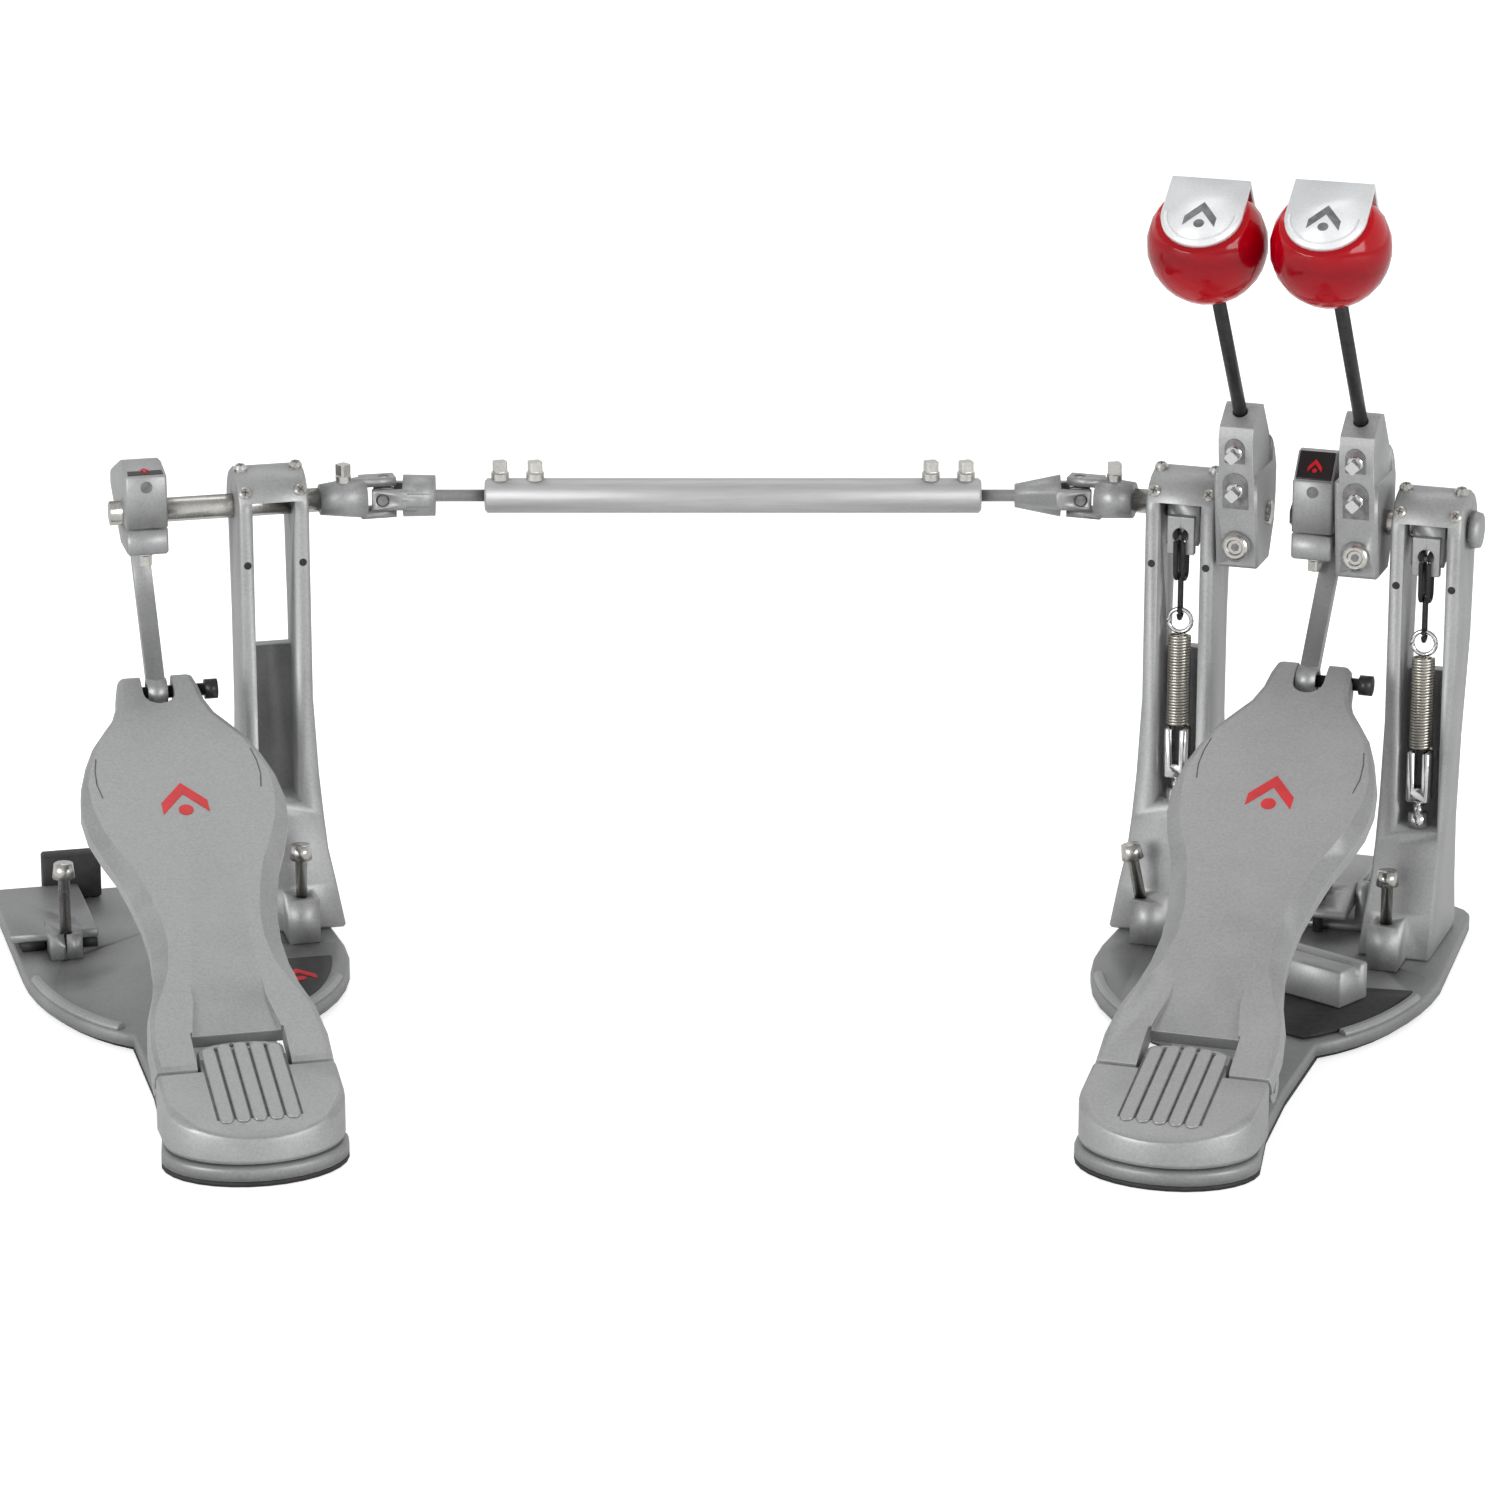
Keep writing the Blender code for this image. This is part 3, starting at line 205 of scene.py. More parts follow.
def red_shell():
    """A translucent red moulding: deep red above, with painted light: an orange glow underneath, from its colour
    and from emission, and brighter red at the very top as a painted highlight.
    """
    made, surface, add, wire = shader("red_shell")
    surface.inputs["Roughness"].default_value = 0.10
    surface.inputs["IOR"].default_value = 1.36
    surface.inputs["Transmission Weight"].default_value = 0.18
    surface.inputs["Subsurface Weight"].default_value = 0.15
    surface.inputs["Subsurface Radius"].default_value = (0.02, 0.004, 0.002)
    surface.inputs["Subsurface Scale"].default_value = 0.5
    surface.inputs["Coat Weight"].default_value = 0.1
    place = add("TexCoord")
    apart = add("SeparateXYZ")
    wire(place.outputs["Object"], apart.inputs[0])
    cloud = noise(add, wire, 45.0, 3.0)
    swirl = add("Math")
    swirl.operation = "MULTIPLY_ADD"
    swirl.inputs[1].default_value = 0.012
    wire(cloud, swirl.inputs[0])
    wire(apart.outputs["Z"], swirl.inputs[2])
    height = add("MapRange", From_Min=0.308, From_Max=0.358)
    wire(swirl.outputs[0], height.inputs["Value"])
    # Painted light by height: orange glow at the bottom, brighter red low down and at the top, deep red between.
    deep, bright, glow = (0.26, 0.000, 0.006), (0.50, 0.000, 0.006), (0.95, 0.070, 0.004)
    colour = ramp(add, wire, height.outputs[0], ((0.02, glow), (0.22, bright), (0.62, deep), (1, bright)))
    wire(colour, surface.inputs["Base Color"])
    wire(colour, surface.inputs["Emission Color"])
    # Painted glow: emission, strongest underneath, makes the whole ball shine as if lit from within.
    painted_glow_strength = ramp(add, wire, height.outputs[0], ((0.0, (0.42,) * 3), (0.30, (0.10,) * 3)))
    wire(painted_glow_strength, surface.inputs["Emission Strength"])
    return made


RED = red_shell()


# ---- Builders: all make a bmesh in the coordinates of the frame they're placed in ----
def add_piece(name, bm, place, body, finish, smooth=32, bevel=0.0):
    """A finished piece from a bmesh: its object stays at the origin and its place is in its mesh."""
    bmesh.ops.transform(bm, matrix=place, verts=bm.verts)
    bmesh.ops.recalc_face_normals(bm, faces=bm.faces)
    mesh = bpy.data.meshes.new(name)
    bm.to_mesh(mesh)
    bm.free()
    mesh.shade_smooth()
    mesh.set_sharp_from_angle(angle=math.radians(smooth))
    mesh.materials.append(finish)
    made = bpy.data.objects.new(name, mesh)
    bpy.context.scene.collection.objects.link(made)
    if bevel:
        edge = made.modifiers.new("edge", "BEVEL")
        edge.width = bevel
        edge.segments = 2
        edge.limit_method = "ANGLE"
        edge.angle_limit = math.radians(35)
    if body:
        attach(made, body)
    return made


def turned(bm, profile, place, sides=28):
    """A closed turned shape: profile is (radius, height) from its bottom centre to its top centre."""
    rings = []
    for radius, height in profile:
        if radius < 1e-7:
            rings.append([bm.verts.new(place @ Vector((0, 0, height)))])
            continue
        ring = []
        for step in range(sides):
            angle = 2 * math.pi * step / sides
            spot = Vector((radius * math.cos(angle), radius * math.sin(angle), height))
            ring.append(bm.verts.new(place @ spot))
        rings.append(ring)
    for low, high in zip(rings, rings[1:]):
        for step in range(sides):
            after = (step + 1) % sides
            corners = [low[step % len(low)], low[after % len(low)]]
            corners += [high[after % len(high)], high[step % len(high)]]
            corners = list(dict.fromkeys(corners))
            if len(corners) > 2:
                bm.faces.new(corners)
    for ring in (rings[0], rings[-1]):
        if len(ring) > 1:
            bm.faces.new(ring)
    return bm


def block(bm, low, high, place=None):
    low, high = Vector(low), Vector(high)
    size = Matrix.Diagonal((*(high - low), 1))
    place = place or Matrix.Identity(4)
    bmesh.ops.create_cube(bm, size=1, matrix=place @ Matrix.Translation((low + high) / 2) @ size)
    return bm


def prism(bm, outline, low, high, place=None):
    """A flat outline (x, y) given its thickness from low to high along z."""
    place = place or Matrix.Identity(4)
    floor = [bm.verts.new(place @ Vector((x, y, low))) for x, y in outline]
    roof = [bm.verts.new(place @ Vector((x, y, high))) for x, y in outline]
    bm.faces.new(floor[::-1])
    bm.faces.new(roof)
    for step in range(len(outline)):
        after = (step + 1) % len(outline)
        bm.faces.new((floor[step], floor[after], roof[after], roof[step]))
    return bm


def arc(centre, radius, start, end, steps):
    points = []
    for step in range(steps + 1):
        angle = math.radians(start + (end - start) * step / steps)
        points.append((centre[0] + radius * math.cos(angle), centre[1] + radius * math.sin(angle)))
    return points


def ring_band(bm, outer, inner, low, high, place, sides=56, start=0.0, end=360.0):
    """A flat ring, or part of one, as a closed band."""
    whole = end - start >= 360
    count = sides if whole else sides + 1
    rows = []
    for step in range(count):
        angle = math.radians(start + (end - start) * step / sides)
        across = Vector((math.cos(angle), math.sin(angle), 0))
        row = []
        for radius, height in ((inner, low), (outer, low), (outer, high), (inner, high)):
            row.append(bm.verts.new(place @ (across * radius + Vector((0, 0, height)))))
        rows.append(row)
    for step in range(sides):
        here, after = rows[step], rows[(step + 1) % count]
        for side in range(4):
            other = (side + 1) % 4
            bm.faces.new((here[side], after[side], after[other], here[other]))
    if not whole:
        bm.faces.new(rows[0])
        bm.faces.new(rows[-1][::-1])
    return bm


def tube(bm, path, radius, sides=8, closed=False):
    """A round wire along a list of points."""
    points = [Vector(point) for point in path]
    count = len(points)
    rings = []
    for step, point in enumerate(points):
        before = points[step - 1] if step or closed else point
        after = points[(step + 1) % count] if step < count - 1 or closed else point
        along = (after - before).normalized()
        turn = along.to_track_quat("Z", "Y").to_matrix()
        ring = []
        for side in range(sides):
            angle = 2 * math.pi * side / sides
            around = Vector((radius * math.cos(angle), radius * math.sin(angle), 0))
            ring.append(bm.verts.new(point + turn @ around))
        rings.append(ring)
    for step in range(count if closed else count - 1):
        here, after = rings[step], rings[(step + 1) % count]
        for side in range(sides):
            other = (side + 1) % sides
            bm.faces.new((here[side], here[other], after[other], after[side]))
    if not closed:
        bm.faces.new(rings[0][::-1])
        bm.faces.new(rings[-1])
    return bm


def facing(at, axis, spin=0.0):
    """A place whose z is along axis, turned round it by spin degrees."""
    turn = Vector(axis).normalized().to_track_quat("Z", "Y").to_matrix().to_4x4()
    return Matrix.Translation(Vector(at)) @ turn @ Matrix.Rotation(math.radians(spin), 4, "Z")


def key_screw(bm, place, collar=0.0031, neck=0.0012, head=0.0027, tall=0.0058):
    """A drum key screw: a round collar and a square head with eased corners."""
    eased = neck + 0.0006
    turned(bm, ((0, 0), (collar, 0), (collar, neck), (collar * 0.86, eased), (0, eased)), place, 20)
    ease = head * 0.72
    square = [(head, -ease), (head, ease), (ease, head), (-ease, head)]
    square += [(-head, ease), (-head, -ease), (-ease, -head), (ease, -head)]
    prism(bm, square, neck, neck + tall, place)
    return bm


def pan_head(bm, place, radius=0.0027, tall=0.0013):
    dome = ((0, -0.0004), (radius, -0.0004), (radius, tall * 0.4), (radius * 0.7, tall), (0, tall * 1.05))
    turned(bm, dome, place, 20)
    return bm


def cross_recess(bm, place, radius=0.0015, lift=0.0013, wide=0.00035):
    for low, high in (((-radius, -wide), (radius, wide)), ((-wide, -radius), (wide, radius))):
        block(bm, (*low, lift - 0.0003), (*high, lift + 0.00012), place)
    return bm


def mark(bm, place, radius, lift):
    """A plain mark that stands for no maker: an upward chevron over a dot, with no ring."""
    thick = 0.00012
    wide, tall, leg = radius * 0.58, radius * 0.52, radius * 0.42
    for hand in (-1, 1):
        foot = -tall * 0.35
        leg_shape = [(0, tall), (hand * wide, foot), (hand * wide, foot - leg), (0, tall - leg)]
        prism(bm, leg_shape if hand < 0 else leg_shape[::-1], lift - thick, lift + thick, place)
    dot = place @ Matrix.Translation((0, -radius * 0.48, 0))
    prism(bm, arc((0, 0), radius * 0.19, 0, 345, 23), lift - thick, lift + thick, dot)
    return bm


# ---- CAD pieces: each keeps its shape and gets its material and smooth shading ----
def dress(node, finish, bevel=0.0):
    made = NODES[node]
    made.data.materials.clear()
    made.data.materials.append(finish)
    weld = made.modifiers.new("weld", "WELD")
    weld.merge_threshold = 0.000002
    if bevel:
        edge = made.modifiers.new("edge", "BEVEL")
        edge.width = bevel
        edge.segments = 2
        edge.limit_method = "ANGLE"
        edge.angle_limit = math.radians(38)
    made.data.shade_smooth()
    made.data.set_sharp_from_angle(angle=math.radians(32))


for slot_name, finish in (
    ("die_cast_aluminium", CAST),
    ("bright_steel", STEEL),
    ("silver_disc", SILVER),
    ("black_steel", BLACK),
    ("black_rubber", RUBBER),
    ("red_plastic", RED),
):
    for part in frame["record"]["subparts"]:
        if part["material_slot"] == slot_name:
            dress(part["node"], finish)
for node in ("primary_base_plate", "slave_base_plate", "side_foot"):
    NODES[node].data.materials[0] = PLATE
NODES["drive_tube"].data.materials[0] = TUBE
for node in ("primary_shaft_rod", "slave_shaft_rod"):
    NODES[node].data.materials[0] = CAST
for node in ("inner_spring_clevis", "outer_spring_clevis"):
    NODES[node].data.materials[0] = CHROME


# ---- Footboards: the CAD board with its long side chamfers, the heel scoop and two crease marks ----
# The chamfers widen from the bulge down to the waist; the scoop leads down to the heel's tongue.
BOARD_HALVES = (
    (0.030, 0.0353), (0.047, 0.0308), (0.060, 0.0284), (0.075, 0.0276), (0.090, 0.0286), (0.105, 0.0312),
    (0.120, 0.0345), (0.133, 0.0390), (0.147, 0.0428), (0.161, 0.0438), (0.175, 0.0420), (0.188, 0.0383),
)
CHAMFER_WIDE = (0.0010, 0.0042, 0.0062, 0.0074, 0.0078, 0.0078, 0.0074, 0.0068, 0.0060, 0.0048, 0.0030, 0.0006)
CHAMFER_DEEP = 0.55


def copy_of(node, name, finish, body):
    """A new piece with a CAD node's shape, its flat faces whole again, ready to be cut."""
    bm = bmesh.new()
    bm.from_mesh(NODES[node].data)
    bmesh.ops.remove_doubles(bm, verts=bm.verts, dist=0.000002)
    bmesh.ops.dissolve_limit(bm, angle_limit=math.radians(0.5), verts=bm.verts, edges=bm.edges)
    made = add_piece(name, bm, Matrix.Identity(4), body, finish)
    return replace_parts(made, node)


def carve(target, bm, place):
    """Cuts a piece with a shape and applies the cut."""
    tool = add_piece("tool", bm, place, None, CAST)
    step = target.modifiers.new("cut", "BOOLEAN")
    step.operation = "DIFFERENCE"
    step.object = tool
    graph = bpy.context.evaluated_depsgraph_get()
    shape = bpy.data.meshes.new_from_object(target.evaluated_get(graph))
    target.modifiers.clear()
    target.data = shape
    bpy.data.objects.remove(tool, do_unlink=True)
    shape.shade_smooth()
    shape.set_sharp_from_angle(angle=math.radians(25))


def side_chamfer(hand):
    """What the chamfer takes off one long side of a footboard."""
    bm = bmesh.new()
    rows = []
    for (along, half), wide in zip(BOARD_HALVES, CHAMFER_WIDE):
        out = 0.004
        section = (
            (half - wide, 0.0),
            (half + out, -(wide + out) * CHAMFER_DEEP),
            (half + out, 0.004),
            (half - wide, 0.004),
        )
        rows.append([bm.verts.new((hand * x, along, z)) for x, z in section])
    for here, after in zip(rows, rows[1:]):
        for side in range(4):
            other = (side + 1) % 4
            bm.faces.new((here[side], here[other], after[other], after[side]))
    bm.faces.new(rows[0])
    bm.faces.new(rows[-1])
    return bm


def scoop():
    """A shallow lead-in, wide at the tongue and narrow towards the waist."""
    shape = [(-0.0186, -0.010), (0.0186, -0.010), (0.0186, 0.0205), (0.0150, 0.0400)]
    shape += arc((0.0100, 0.0470), 0.0050, 0, 90, 5) + arc((-0.0100, 0.0470), 0.0050, 90, 180, 5)
    shape += [(-0.0150, 0.0400), (-0.0186, 0.0205)]
    return prism(bmesh.new(), shape, 0.0, 0.02)


for pedal, slope in BOARD_SLOPE.items():
    body = f"{pedal}_board"
    place = PEDAL[pedal] @ Matrix.Translation(SEAM) @ Matrix.Rotation(slope, 4, "X")
    board = copy_of(f"{pedal}_footboard", f"{pedal}_footboard_cast", CAST, body)
    for hand in (-1, 1):
        carve(board, side_chamfer(hand), place)
    dip = place @ Matrix.Translation((0, 0.0520, 0.0002)) @ Matrix.Rotation(math.radians(5.5), 4, "X")
    carve(board, scoop(), dip @ Matrix.Translation((0, -0.0520, 0)))

    # The two crease marks are thin dark grey wires on the board: painted shade for the creases' shadow.
    creases = bmesh.new()
    for hand in (-1, 1):
        path = [(0.0340, 0.1660), (0.0352, 0.1745), (0.0348, 0.1830), (0.0334, 0.1905)]
        tube(creases, [(hand * x, y, 0.0000) for x, y in path], 0.00028, 6)
    add_piece(f"{pedal}_board_creases", creases, place, body, GROOVE_SHADOW)
    emblem = mark(bmesh.new(), place @ Matrix.Translation((0, 0.1630, 0)), 0.0170, 0.0001)
    add_piece(f"{pedal}_board_mark", emblem, Matrix.Identity(4), body, MARK)


# ---- Heel plates: lengthwise ribs with scalloped ends over grooves of painted shade, dots of the same grey at their tips ----
# The corners of each heel fall away in broad chamfers.
RIB_PITCH, RIB_HALF, RIB_COUNT = 0.0068, 0.0029, 5
RIB_ENDS = (0.0132, 0.0152, 0.0158, 0.0152, 0.0132)

for pedal in PEDAL:
    body = BASE[pedal]
    place = PEDAL[pedal] @ Matrix.Translation(SEAM) @ Matrix.Rotation(HEEL_SLOPE, 4, "X")
    heel = copy_of(f"{pedal}_heel_plate", f"{pedal}_heel_cast", CAST, body)
    for hand in (-1, 1):
        corner = Matrix.Translation((hand * 0.0285, -0.0345, 0))
        corner = corner @ Matrix.Rotation(math.radians(hand * -28), 4, "Z")
        corner = corner @ Matrix.Rotation(math.radians(hand * 24), 4, "Y")
        near, far = (-0.001, 0.05) if hand > 0 else (-0.05, 0.001)
        wedge = block(bmesh.new(), (near, -0.06, 0), (far, 0.06, 0.03))
        carve(heel, wedge, place @ corner)
    ribs = bmesh.new()
    tips = bmesh.new()
    for index in range(RIB_COUNT):
        across = (index - (RIB_COUNT - 1) / 2) * RIB_PITCH
        end = RIB_ENDS[index]
        shape = arc((across, end - RIB_HALF), RIB_HALF, 0, 180, 8)
        shape += arc((across, -0.0385 + RIB_HALF), RIB_HALF, 180, 360, 8)
        prism(ribs, shape, -0.0002, 0.0009)
        if index < RIB_COUNT - 1:
            dot = (across + RIB_PITCH / 2, min(end, RIB_ENDS[index + 1]) - 0.0008)
            prism(tips, arc(dot, 0.0008, 0, 330, 11), -0.0002, 0.0007)
    add_piece(f"{pedal}_heel_ribs", ribs, place, body, CAST, bevel=0.0006)
    add_piece(f"{pedal}_heel_dots", tips, place, body, GROOVE_SHADOW)
    # The bed is thin dark grey strips between the ribs: painted shade in the grooves.
    bed = bmesh.new()
    for index in range(RIB_COUNT + 1):
        across = (index - RIB_COUNT / 2) * RIB_PITCH
        top = 0.0115 if 0 < index < RIB_COUNT else 0.006
        block(bed, (across - 0.00055, -0.0360, -0.0002), (across + 0.00055, top, 0.00012))
    add_piece(f"{pedal}_heel_grooves", bed, place, body, GROOVE_SHADOW)


# ---- Base plates: a raised rim along each swept side and a dark label ----
# A rim follows the plate's edge between its front corner and its narrow neck.
RIMS = (
    ("primary", -1, 0.0905, 0.110, 22, 64),
    ("primary", 1, 0.0620, 0.105, 14, 50),
    ("slave", -1, 0.0640, 0.103, 8, 56),
    ("slave", 1, 0.0790, 0.100, 26, 60),
)
PLATE_ARC_V = -0.043
PLATE_TOP = 0.0080
for pedal, hand, half, run, start, end in RIMS:
    rim = bmesh.new()
    rows = []
    for step in range(29):
        angle = math.radians(start + (end - start) * step / 28)
        out = Vector((half * math.cos(angle), -run * math.sin(angle)))
        normal = Vector((out.x / half**2, out.y / run**2)).normalized()
        row = []
        for inward, lift in ((0.0012, 0.0), (0.0012, 0.0014), (0.0026, 0.0026), (0.0050, 0.0026), (0.0066, 0.0)):
            point = out - normal * inward
            row.append(rim.verts.new((hand * point.x, PLATE_ARC_V + point.y, PLATE_TOP - 0.0002 + lift)))
        rows.append(row)
    for here, after in zip(rows, rows[1:]):
        for side in range(5):
            other = (side + 1) % 5
            rim.faces.new((here[side], after[side], after[other], here[other]))
    rim.faces.new(rows[0])
    rim.faces.new(rows[-1][::-1])
    name = f"{pedal}_{'right' if hand > 0 else 'left'}_rim"
    add_piece(name, rim, PEDAL[pedal], BASE[pedal], CAST, bevel=0.0003)

label = [(0.0360, -0.0560), (0.0700, -0.0560)]
for step in range(9):
    angle = math.radians(10 + 50 * step / 8)
    label.append((0.0712 * math.cos(angle), PLATE_ARC_V - 0.0925 * math.sin(angle)))
label = prism(bmesh.new(), label[::-1], PLATE_TOP, PLATE_TOP + 0.00025)
add_piece("slave_base_label", label, SLAVE, "slave_base", LABEL)
label_mark = SLAVE @ Matrix.Translation((0.0520, -0.0770, 0))
label_mark = mark(bmesh.new(), label_mark, 0.0125, PLATE_TOP + 0.0004)
add_piece("slave_base_mark", label_mark, Matrix.Identity(4), "slave_base", MARK)


# ---- Springs: close-wound coils between each hook and clevis, with a bright loop at the top ----
SPRING_V, SPRING_FOOT, SPRING_TOP = -0.0126, 0.1030, 0.1450
COIL_R, WIRE_R, TURNS = 0.0046, 0.00062, 31

for name, pedal, column_u, _ in COLUMNS[:2]:
    path = []
    steps = TURNS * 18
    for step in range(steps + 1):
        angle = 2 * math.pi * step / 18
        height = SPRING_FOOT + WIRE_R + (SPRING_TOP - SPRING_FOOT - 2 * WIRE_R) * step / steps
        path.append((column_u + COIL_R * math.cos(angle), SPRING_V + COIL_R * math.sin(angle), height))
    coil = tube(bmesh.new(), path, WIRE_R, 6)
    coil = add_piece(f"{name}_coil", coil, PRIMARY, None, SPRING, 60)
    head = PRIMARY @ Vector((column_u, SPRING_V, SPRING_TOP - 0.001))
    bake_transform(coil)
    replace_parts(coil, f"{name}_spring")

    loop = bmesh.new()
    ring = [(u, SPRING_V, w) for u, w in arc((column_u, SPRING_TOP + 0.0060), 0.0052, 0, 345, 23)]
    tube(loop, ring, 0.0010, 8, closed=True)
    tube(loop, [(column_u, SPRING_V, SPRING_TOP - 0.001), (column_u, SPRING_V, SPRING_TOP + 0.0012)], 0.0009)
    add_piece(f"{name}_spring_loop", loop, PRIMARY, f"{name}_hook", CHROME, 60)
    hook = bmesh.new()
    for hand in (-1, 1):
        at_u = column_u + hand * 0.0017
        eye = arc((SPRING_V, 0.1875), 0.0040, 0, 180, 8) + arc((SPRING_V, 0.1735), 0.0034, 180, 360, 8)
        tube(hook, [(at_u, v, w) for v, w in eye], 0.00105, 8, closed=True)
    shank = ((0.0, 0.1715, 0.0016), (0.0, 0.1640, 0.0013), (0.0, 0.1565, 0.0013))
    tube(hook, [(column_u, SPRING_V, w) for _, w, _ in shank], 0.0013, 10)
    eye = [(column_u, v, w) for v, w in arc((SPRING_V, 0.1546), 0.0026, 0, 345, 15)]
    tube(hook, eye, 0.0010, 8, closed=True)
    hook = add_piece(f"{name}_wire_hook", hook, PRIMARY, f"{name}_hook", BLACK, 60)
    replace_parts(hook, f"{name}_spring_hook")


# ---- Columns: fixing screws with crossed recesses and blind holes ----
BARREL_R = 0.0172
for name, pedal, column_u, body in COLUMNS:
    place = PEDAL[pedal]
    heads, recesses, holes = bmesh.new(), bmesh.new(), bmesh.new()
    for hand in (-1, 1):
        at_u = column_u + hand * 0.0122
        lean = math.radians(148)
        out = Vector((0, math.cos(lean), math.sin(lean)))
        front = facing(Vector((at_u, 0, AXLE_W)) + out * BARREL_R, out, 20 + 30 * hand)
        pan_head(heads, front)
        # The cross recesses are dark grey bars on the screw heads: painted shade.
        cross_recess(recesses, front)
        top = facing(Vector((at_u, -0.0030, AXLE_W + BARREL_R - 0.0004)), (0, -0.17, 1), 15)
        pan_head(heads, top, 0.0030, 0.0022)
        cross_recess(recesses, top, lift=0.0022)
        # Each blind hole is a black disc on the barrel: painted shade for its depth.
        hole = facing((at_u, -BARREL_R, 0.1770), (0, -1, 0))
        turned(holes, ((0, -0.001), (0.0017, -0.001), (0.0017, 0.00012), (0, 0.00012)), hole, 20)
    add_piece(f"{name}_column_screws", heads, place, body, STEEL)
    add_piece(f"{name}_column_recesses", recesses, place, body, GROOVE_SHADOW)
    add_piece(f"{name}_column_holes", holes, place, body, BLACK)


# ---- Rockers: a flat face with a keyhole, from which the spring's hook hangs ----
for name, pedal, column_u, _ in COLUMNS[:2]:
    body = "driven_axle" if name == "inner" else "beater_axle"
    half, low, high, hole, slot = 0.0060, 0.1815, 0.1985, 0.0034, 0.0021
    face = [(slot, low), (half, low), (half, high), (0, high)]
    key = arc((0, 0.1900), hole, 90, -52, 10) + [(slot, low)]
    bm = bmesh.new()
    right = [(0, high), (half, high), (half, low), (slot, low)] + key[-2::-1]
    for hand in (-1, 1):
        shape = [(hand * x, y) for x, y in right]
        front = Matrix.Translation((column_u, -0.0118, 0)) @ Matrix.Rotation(math.radians(90), 4, "X")
        prism(bm, shape if hand > 0 else shape[::-1], -0.0008, 0.0030, front)
    add_piece(f"{name}_rocker_face", bm, PRIMARY, body, CAST, bevel=0.0003)


# ---- Beater holders: key screws in arched recesses of painted shade, the clamp boss's socket and the rod's collar ----
for side, holder_u, body in HOLDERS:
    holder = copy_of(f"{side}_beater_holder", f"{side}_holder_cast", CAST, body)
    for low_u, high_u in ((-0.012, -0.0072), (0.0079, 0.012)):
        shoulder = block(bmesh.new(), (holder_u + low_u, -0.05, 0.2225), (holder_u + high_u, 0.0040, 0.27))
        carve(holder, shoulder, PRIMARY)
    screws, shades, sockets = bmesh.new(), bmesh.new(), bmesh.new()
    back = Vector((0, -0.0320, -0.0045)).normalized()
    for v, w, tall in ((-0.0262, 0.2325, 0.0050), (-0.0237, 0.2150, 0.0054)):
        spot = facing((holder_u, v, w), back, 45)
        key_screw(screws, spot, 0.0036, 0.0016, 0.0024, tall)
    # Painted shade: dark arches behind the key screws, a dark ring round the boss and a dark spot in its socket.
    arch = [(-0.0056, -0.0075), (0.0056, -0.0075)] + arc((0, 0.0035), 0.0056, 0, 180, 12)
    spot = Matrix.Translation((holder_u, -0.0239, 0.2140)) @ Matrix.Rotation(math.radians(98), 4, "X")
    prism(shades, arch, -0.001, 0.00025, spot)
    arch = [(-0.0044, -0.0050), (0.0044, -0.0050)] + arc((0, 0.0020), 0.0044, 0, 180, 12)
    spot = Matrix.Translation((holder_u, -0.0264, 0.2325)) @ Matrix.Rotation(math.radians(98), 4, "X")
    prism(shades, arch, -0.001, 0.00025, spot)
    boss = facing((holder_u, -0.0215, AXLE_W - 0.0110), (0, -1, 0), 15)
    rim = ((0, -0.001), (0.0056, -0.001), (0.0056, 0.0006), (0.0048, 0.0013))
    rim += ((0.0036, 0.0013), (0.0030, 0.0004), (0, 0.0004))
    turned(sockets, rim, boss, 28)
    ring_band(shades, 0.0066, 0.0057, 0.0, 0.00025, boss)
    prism(shades, arc((0, 0), 0.0019, 0, 300, 5), 0.0004, 0.0006, boss)
    collar_at = Matrix.Translation((0, 0, AXLE_W)) @ Matrix.Rotation(RECLINE, 4, "X")
    collar = bmesh.new()
    entry = collar_at @ Matrix.Translation((holder_u, 0.0140, 0.0405))
    bush = ((0.0032, 0.0), (0.0049, 0.0), (0.0049, 0.0016), (0.0041, 0.0026), (0.0032, 0.0026))
    turned(collar, bush, entry, 24)
    add_piece(f"{side}_holder_keys", screws, PRIMARY, body, CHROME)
    add_piece(f"{side}_holder_recess", shades, PRIMARY, body, SHADE)
    add_piece(f"{side}_holder_boss", sockets, PRIMARY, body, STEEL)
    add_piece(f"{side}_holder_collar", collar, PRIMARY, body, BLACK)


# ---- Beater heads: the disc's engraved mark and the moulding's seam ----
for side, holder_u, body, ball_at in (
    ("left", -0.0396, "left_beater", 0.1590),
    ("right", 0.0136, "right_beater", 0.1625),
):
    head = Matrix.Translation((0, 0, AXLE_W)) @ Matrix.Rotation(RECLINE, 4, "X")
    head = PRIMARY @ head @ Matrix.Translation((holder_u, 0.0140, ball_at))
    top = 0.0165 + 0.0003 + 0.0024
    # The engraved mark is drawn in the dark grey of painted shade, for the shade in its cut.
    engraved = mark(bmesh.new(), head, 0.0118, top + 0.00002)
    add_piece(f"{side}_disc_mark", engraved, Matrix.Identity(4), body, SHADE)
    raised = ring_band(bmesh.new(), 0.0158, 0.0146, top - 0.0003, top + 0.0004, head, start=180, end=360)
    add_piece(f"{side}_disc_ridge", raised, Matrix.Identity(4), body, SILVER, bevel=0.0002)


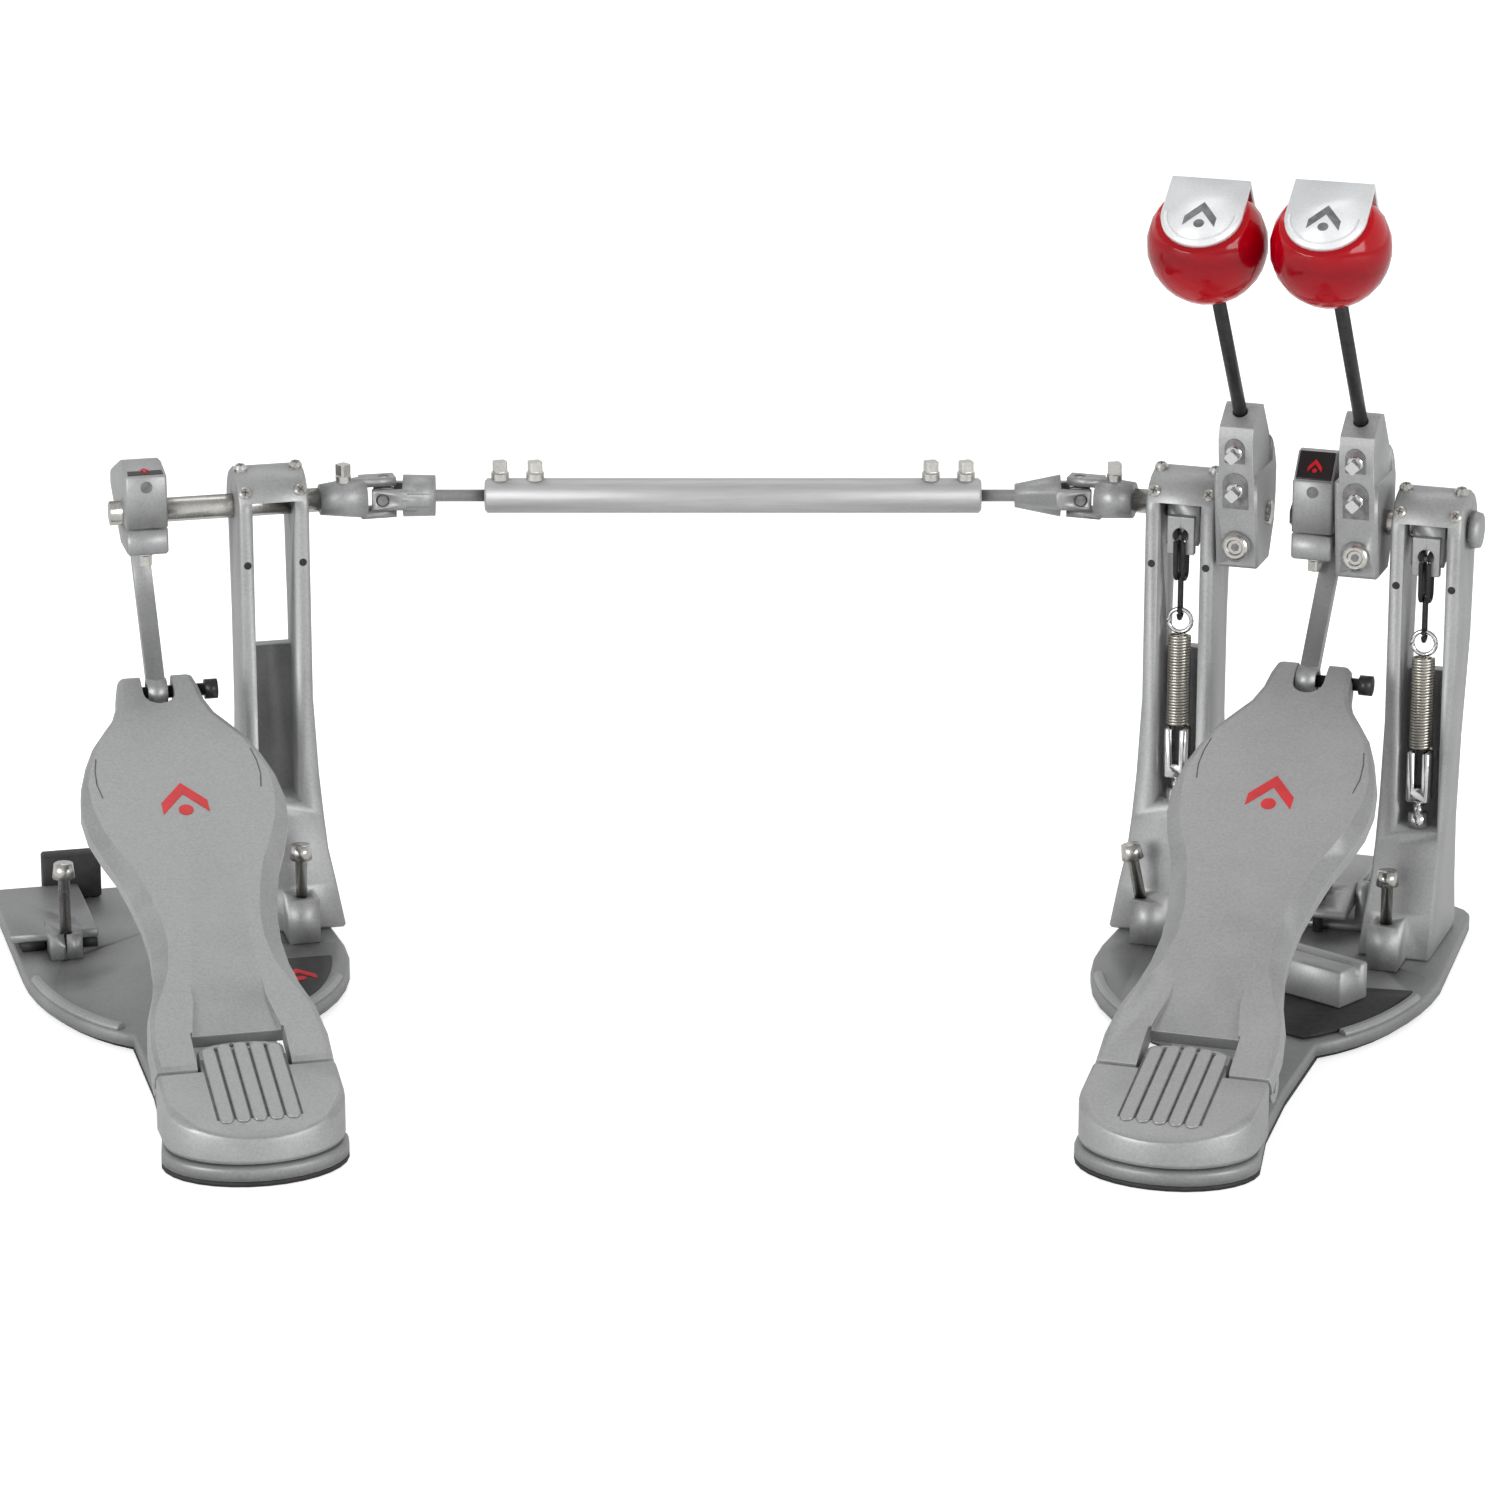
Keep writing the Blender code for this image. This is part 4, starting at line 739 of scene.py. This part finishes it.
# ---- Cams: a dark badge on the sloped top, a dimple, and the clamp screw underneath ----
for pedal, cam_u, body, lean, deep in (
    ("primary", -0.0068, "beater_axle", 52, 0.0142),
    ("slave", 0.0005, "driving_axle", 8, 0.0110),
):
    tilt = Matrix.Translation((cam_u, -0.0178, AXLE_W + 0.0203)) @ Matrix.Rotation(math.radians(lean), 4, "X")
    if lean > 20:
        crown = ((-0.0176, 0.0150), (-0.0176, 0.0200), (-0.0086, 0.0316))
        crown += ((-0.0050, 0.0318), (0.0070, 0.0190), (0.0, 0.0150))
        side_on = Matrix(((0, 0, 1, 0), (1, 0, 0, 0), (0, 1, 0, 0), (0, 0, 0, 1)))
        turn = Matrix.Translation((cam_u, 0, AXLE_W)) @ side_on
        crown = prism(bmesh.new(), crown[::-1], -0.0088, 0.0088, turn)
        add_piece(f"{pedal}_cam_crown", crown, PEDAL[pedal], body, CAST, bevel=0.0008)
    badge = bmesh.new()
    block(badge, (-0.0078, 0.0008, -0.0006), (0.0078, deep, 0.0005), tilt)
    add_piece(f"{pedal}_cam_badge", badge, PEDAL[pedal], body, LABEL, bevel=0.0004)
    middle = PEDAL[pedal] @ tilt @ Matrix.Translation((0, deep / 2 + 0.0004, 0))
    sign = mark(bmesh.new(), middle, deep * 0.38, 0.0006)
    add_piece(f"{pedal}_cam_mark", sign, Matrix.Identity(4), body, MARK)
    below = facing((cam_u, -0.0100, AXLE_W - 0.0150), (0, 0, -1), 20)
    under = key_screw(bmesh.new(), below, 0.0032, 0.0016, 0.0024, 0.0050)
    add_piece(f"{pedal}_cam_screw", under, PEDAL[pedal], body, STEEL)
    # The dimple is a dark grey disc: painted shade in its hollow.
    dimple = facing((cam_u, -0.0181, AXLE_W + 0.0155), (0, -1, 0))
    dimple = turned(bmesh.new(), ((0, -0.0005), (0.0026, -0.0005), (0.0026, 0.0002), (0, 0.0002)), dimple, 20)
    add_piece(f"{pedal}_cam_dimple", dimple, PEDAL[pedal], body, SHADE)


# ---- Drive line: key screws on the tube and yokes, and the set screws of the joints ----
TUBE_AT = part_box("drive_tube")
tube_v = (TUBE_AT[0].y + TUBE_AT[1].y) / 2
keys = bmesh.new()
for x in (TUBE_AT[0].x + 0.0068, TUBE_AT[0].x + 0.0222, TUBE_AT[1].x - 0.0222, TUBE_AT[1].x - 0.0068):
    key_screw(keys, facing((x, tube_v, TUBE_AT[1].z - 0.0003), (0, 0, 1), 20), 0.0040, 0.0030, 0.0028, 0.0052)
add_piece("drive_tube_keys", keys, Matrix.Identity(4), "drive_shaft", STEEL)

for pedal, at_u, body, top in (
    ("slave", 0.0900, "driving_axle", AXLE_W + 0.0078),
    ("primary", -0.1000, "driven_axle", AXLE_W + 0.0086),
):
    keys = key_screw(bmesh.new(), facing((at_u, 0, top - 0.0004), (0, 0, 1), 30), 0.0034, 0.0028, 0.0027, 0.0052)
    add_piece(f"{pedal}_yoke_key", keys, PEDAL[pedal], body, STEEL)
cross_at = PRIMARY @ Vector((-0.1157, 0, AXLE_W))
slave_cross_at = cross_at - Vector((0.306, 0, 0))
for name, centre, body in (("slave", slave_cross_at, "slave_shaft"), ("primary", cross_at, "drive_shaft")):
    dots = bmesh.new()
    pin = facing(centre + Vector((0, -0.0088, 0)), (0, -1, 0))
    turned(dots, ((0, -0.001), (0.0022, -0.001), (0.0022, 0.0004), (0, 0.0004)), pin, 20)
    add_piece(f"{name}_joint_pin", dots, Matrix.Identity(4), body, SHADE)


# ---- Camera, lights and the pale studio ----
eye = bpy.data.cameras.new("camera")
eye.sensor_width = 36
eye.lens = 149.9
eye.clip_end = 50
camera = bpy.data.objects.new("camera", eye)
camera.location = (-0.2547, -2.6145, 0.9276)
camera.rotation_euler = (math.radians(90 - 17.68), 0, 0)
bpy.context.scene.collection.objects.link(camera)
bpy.context.scene.camera = camera


def soft_light(name, at, aim, size, power):
    light = bpy.data.lights.new(name, "AREA")
    light.shape = "RECTANGLE"
    light.size, light.size_y = size
    light.energy = power
    lamp = bpy.data.objects.new(name, light)
    lamp.location = at
    lamp.rotation_euler = (Vector(aim) - Vector(at)).to_track_quat("-Z", "Y").to_euler()
    bpy.context.scene.collection.objects.link(lamp)


soft_light("left", (-2.3, -1.9, 0.9), (-0.35, 0, 0.12), (1.5, 1.1), 34)
soft_light("right", (1.9, -1.9, 0.9), (-0.15, 0, 0.12), (1.5, 1.1), 30)
soft_light("top", (-0.25, 0.9, 2.0), (-0.25, 0, 0.1), (2.4, 0.8), 8)

# The sky is bright at the horizon and dim overhead, and plain white where the camera sees it.
sky = bpy.data.worlds.new("studio")
bpy.context.scene.world = sky
sky.use_nodes = True
tree = sky.node_tree
dome = tree.nodes["Background"]
place = tree.nodes.new("ShaderNodeTexCoord")
apart = tree.nodes.new("ShaderNodeSeparateXYZ")
fade = tree.nodes.new("ShaderNodeMapRange")
fade.inputs["From Min"].default_value = 0.0
fade.inputs["From Max"].default_value = 0.9
fade.inputs["To Min"].default_value = 0.92
fade.inputs["To Max"].default_value = 0.44
backdrop = tree.nodes.new("ShaderNodeBackground")
backdrop.inputs["Color"].default_value = (1, 1, 1, 1)
seen = tree.nodes.new("ShaderNodeLightPath")
choose = tree.nodes.new("ShaderNodeMixShader")
tree.links.new(place.outputs["Generated"], apart.inputs[0])
tree.links.new(apart.outputs["Z"], fade.inputs["Value"])
tree.links.new(fade.outputs[0], dome.inputs["Strength"])
dome.inputs["Color"].default_value = (1, 1, 1, 1)
tree.links.new(seen.outputs["Is Camera Ray"], choose.inputs[0])
tree.links.new(dome.outputs[0], choose.inputs[1])
tree.links.new(backdrop.outputs[0], choose.inputs[2])
tree.links.new(choose.outputs[0], tree.nodes["World Output"].inputs["Surface"])

ground = bmesh.new()
bmesh.ops.create_grid(ground, x_segments=1, y_segments=1, size=9)
ground = add_piece("studio_floor", ground, Matrix.Translation((0, 0, -0.0004)), None, CAST)
pale, surface, add, wire = shader("pale_floor")
surface.inputs["Base Color"].default_value = (0.9, 0.9, 0.9, 1)
surface.inputs["Roughness"].default_value = 0.9
surface.inputs["Emission Color"].default_value = (1, 1, 1, 1)
seen = add("LightPath")
glow = add("MapRange", To_Min=0.0, To_Max=0.55)
wire(seen.outputs["Is Camera Ray"], glow.inputs["Value"])
wire(glow.outputs[0], surface.inputs["Emission Strength"])
ground.data.materials[0] = pale
bpy.context.scene.view_settings.view_transform = "Standard"


# ---- Corners of a box, rounded to six places ----
def corners(box):
    return [[round(value, 6) for value in corner] for corner in box]
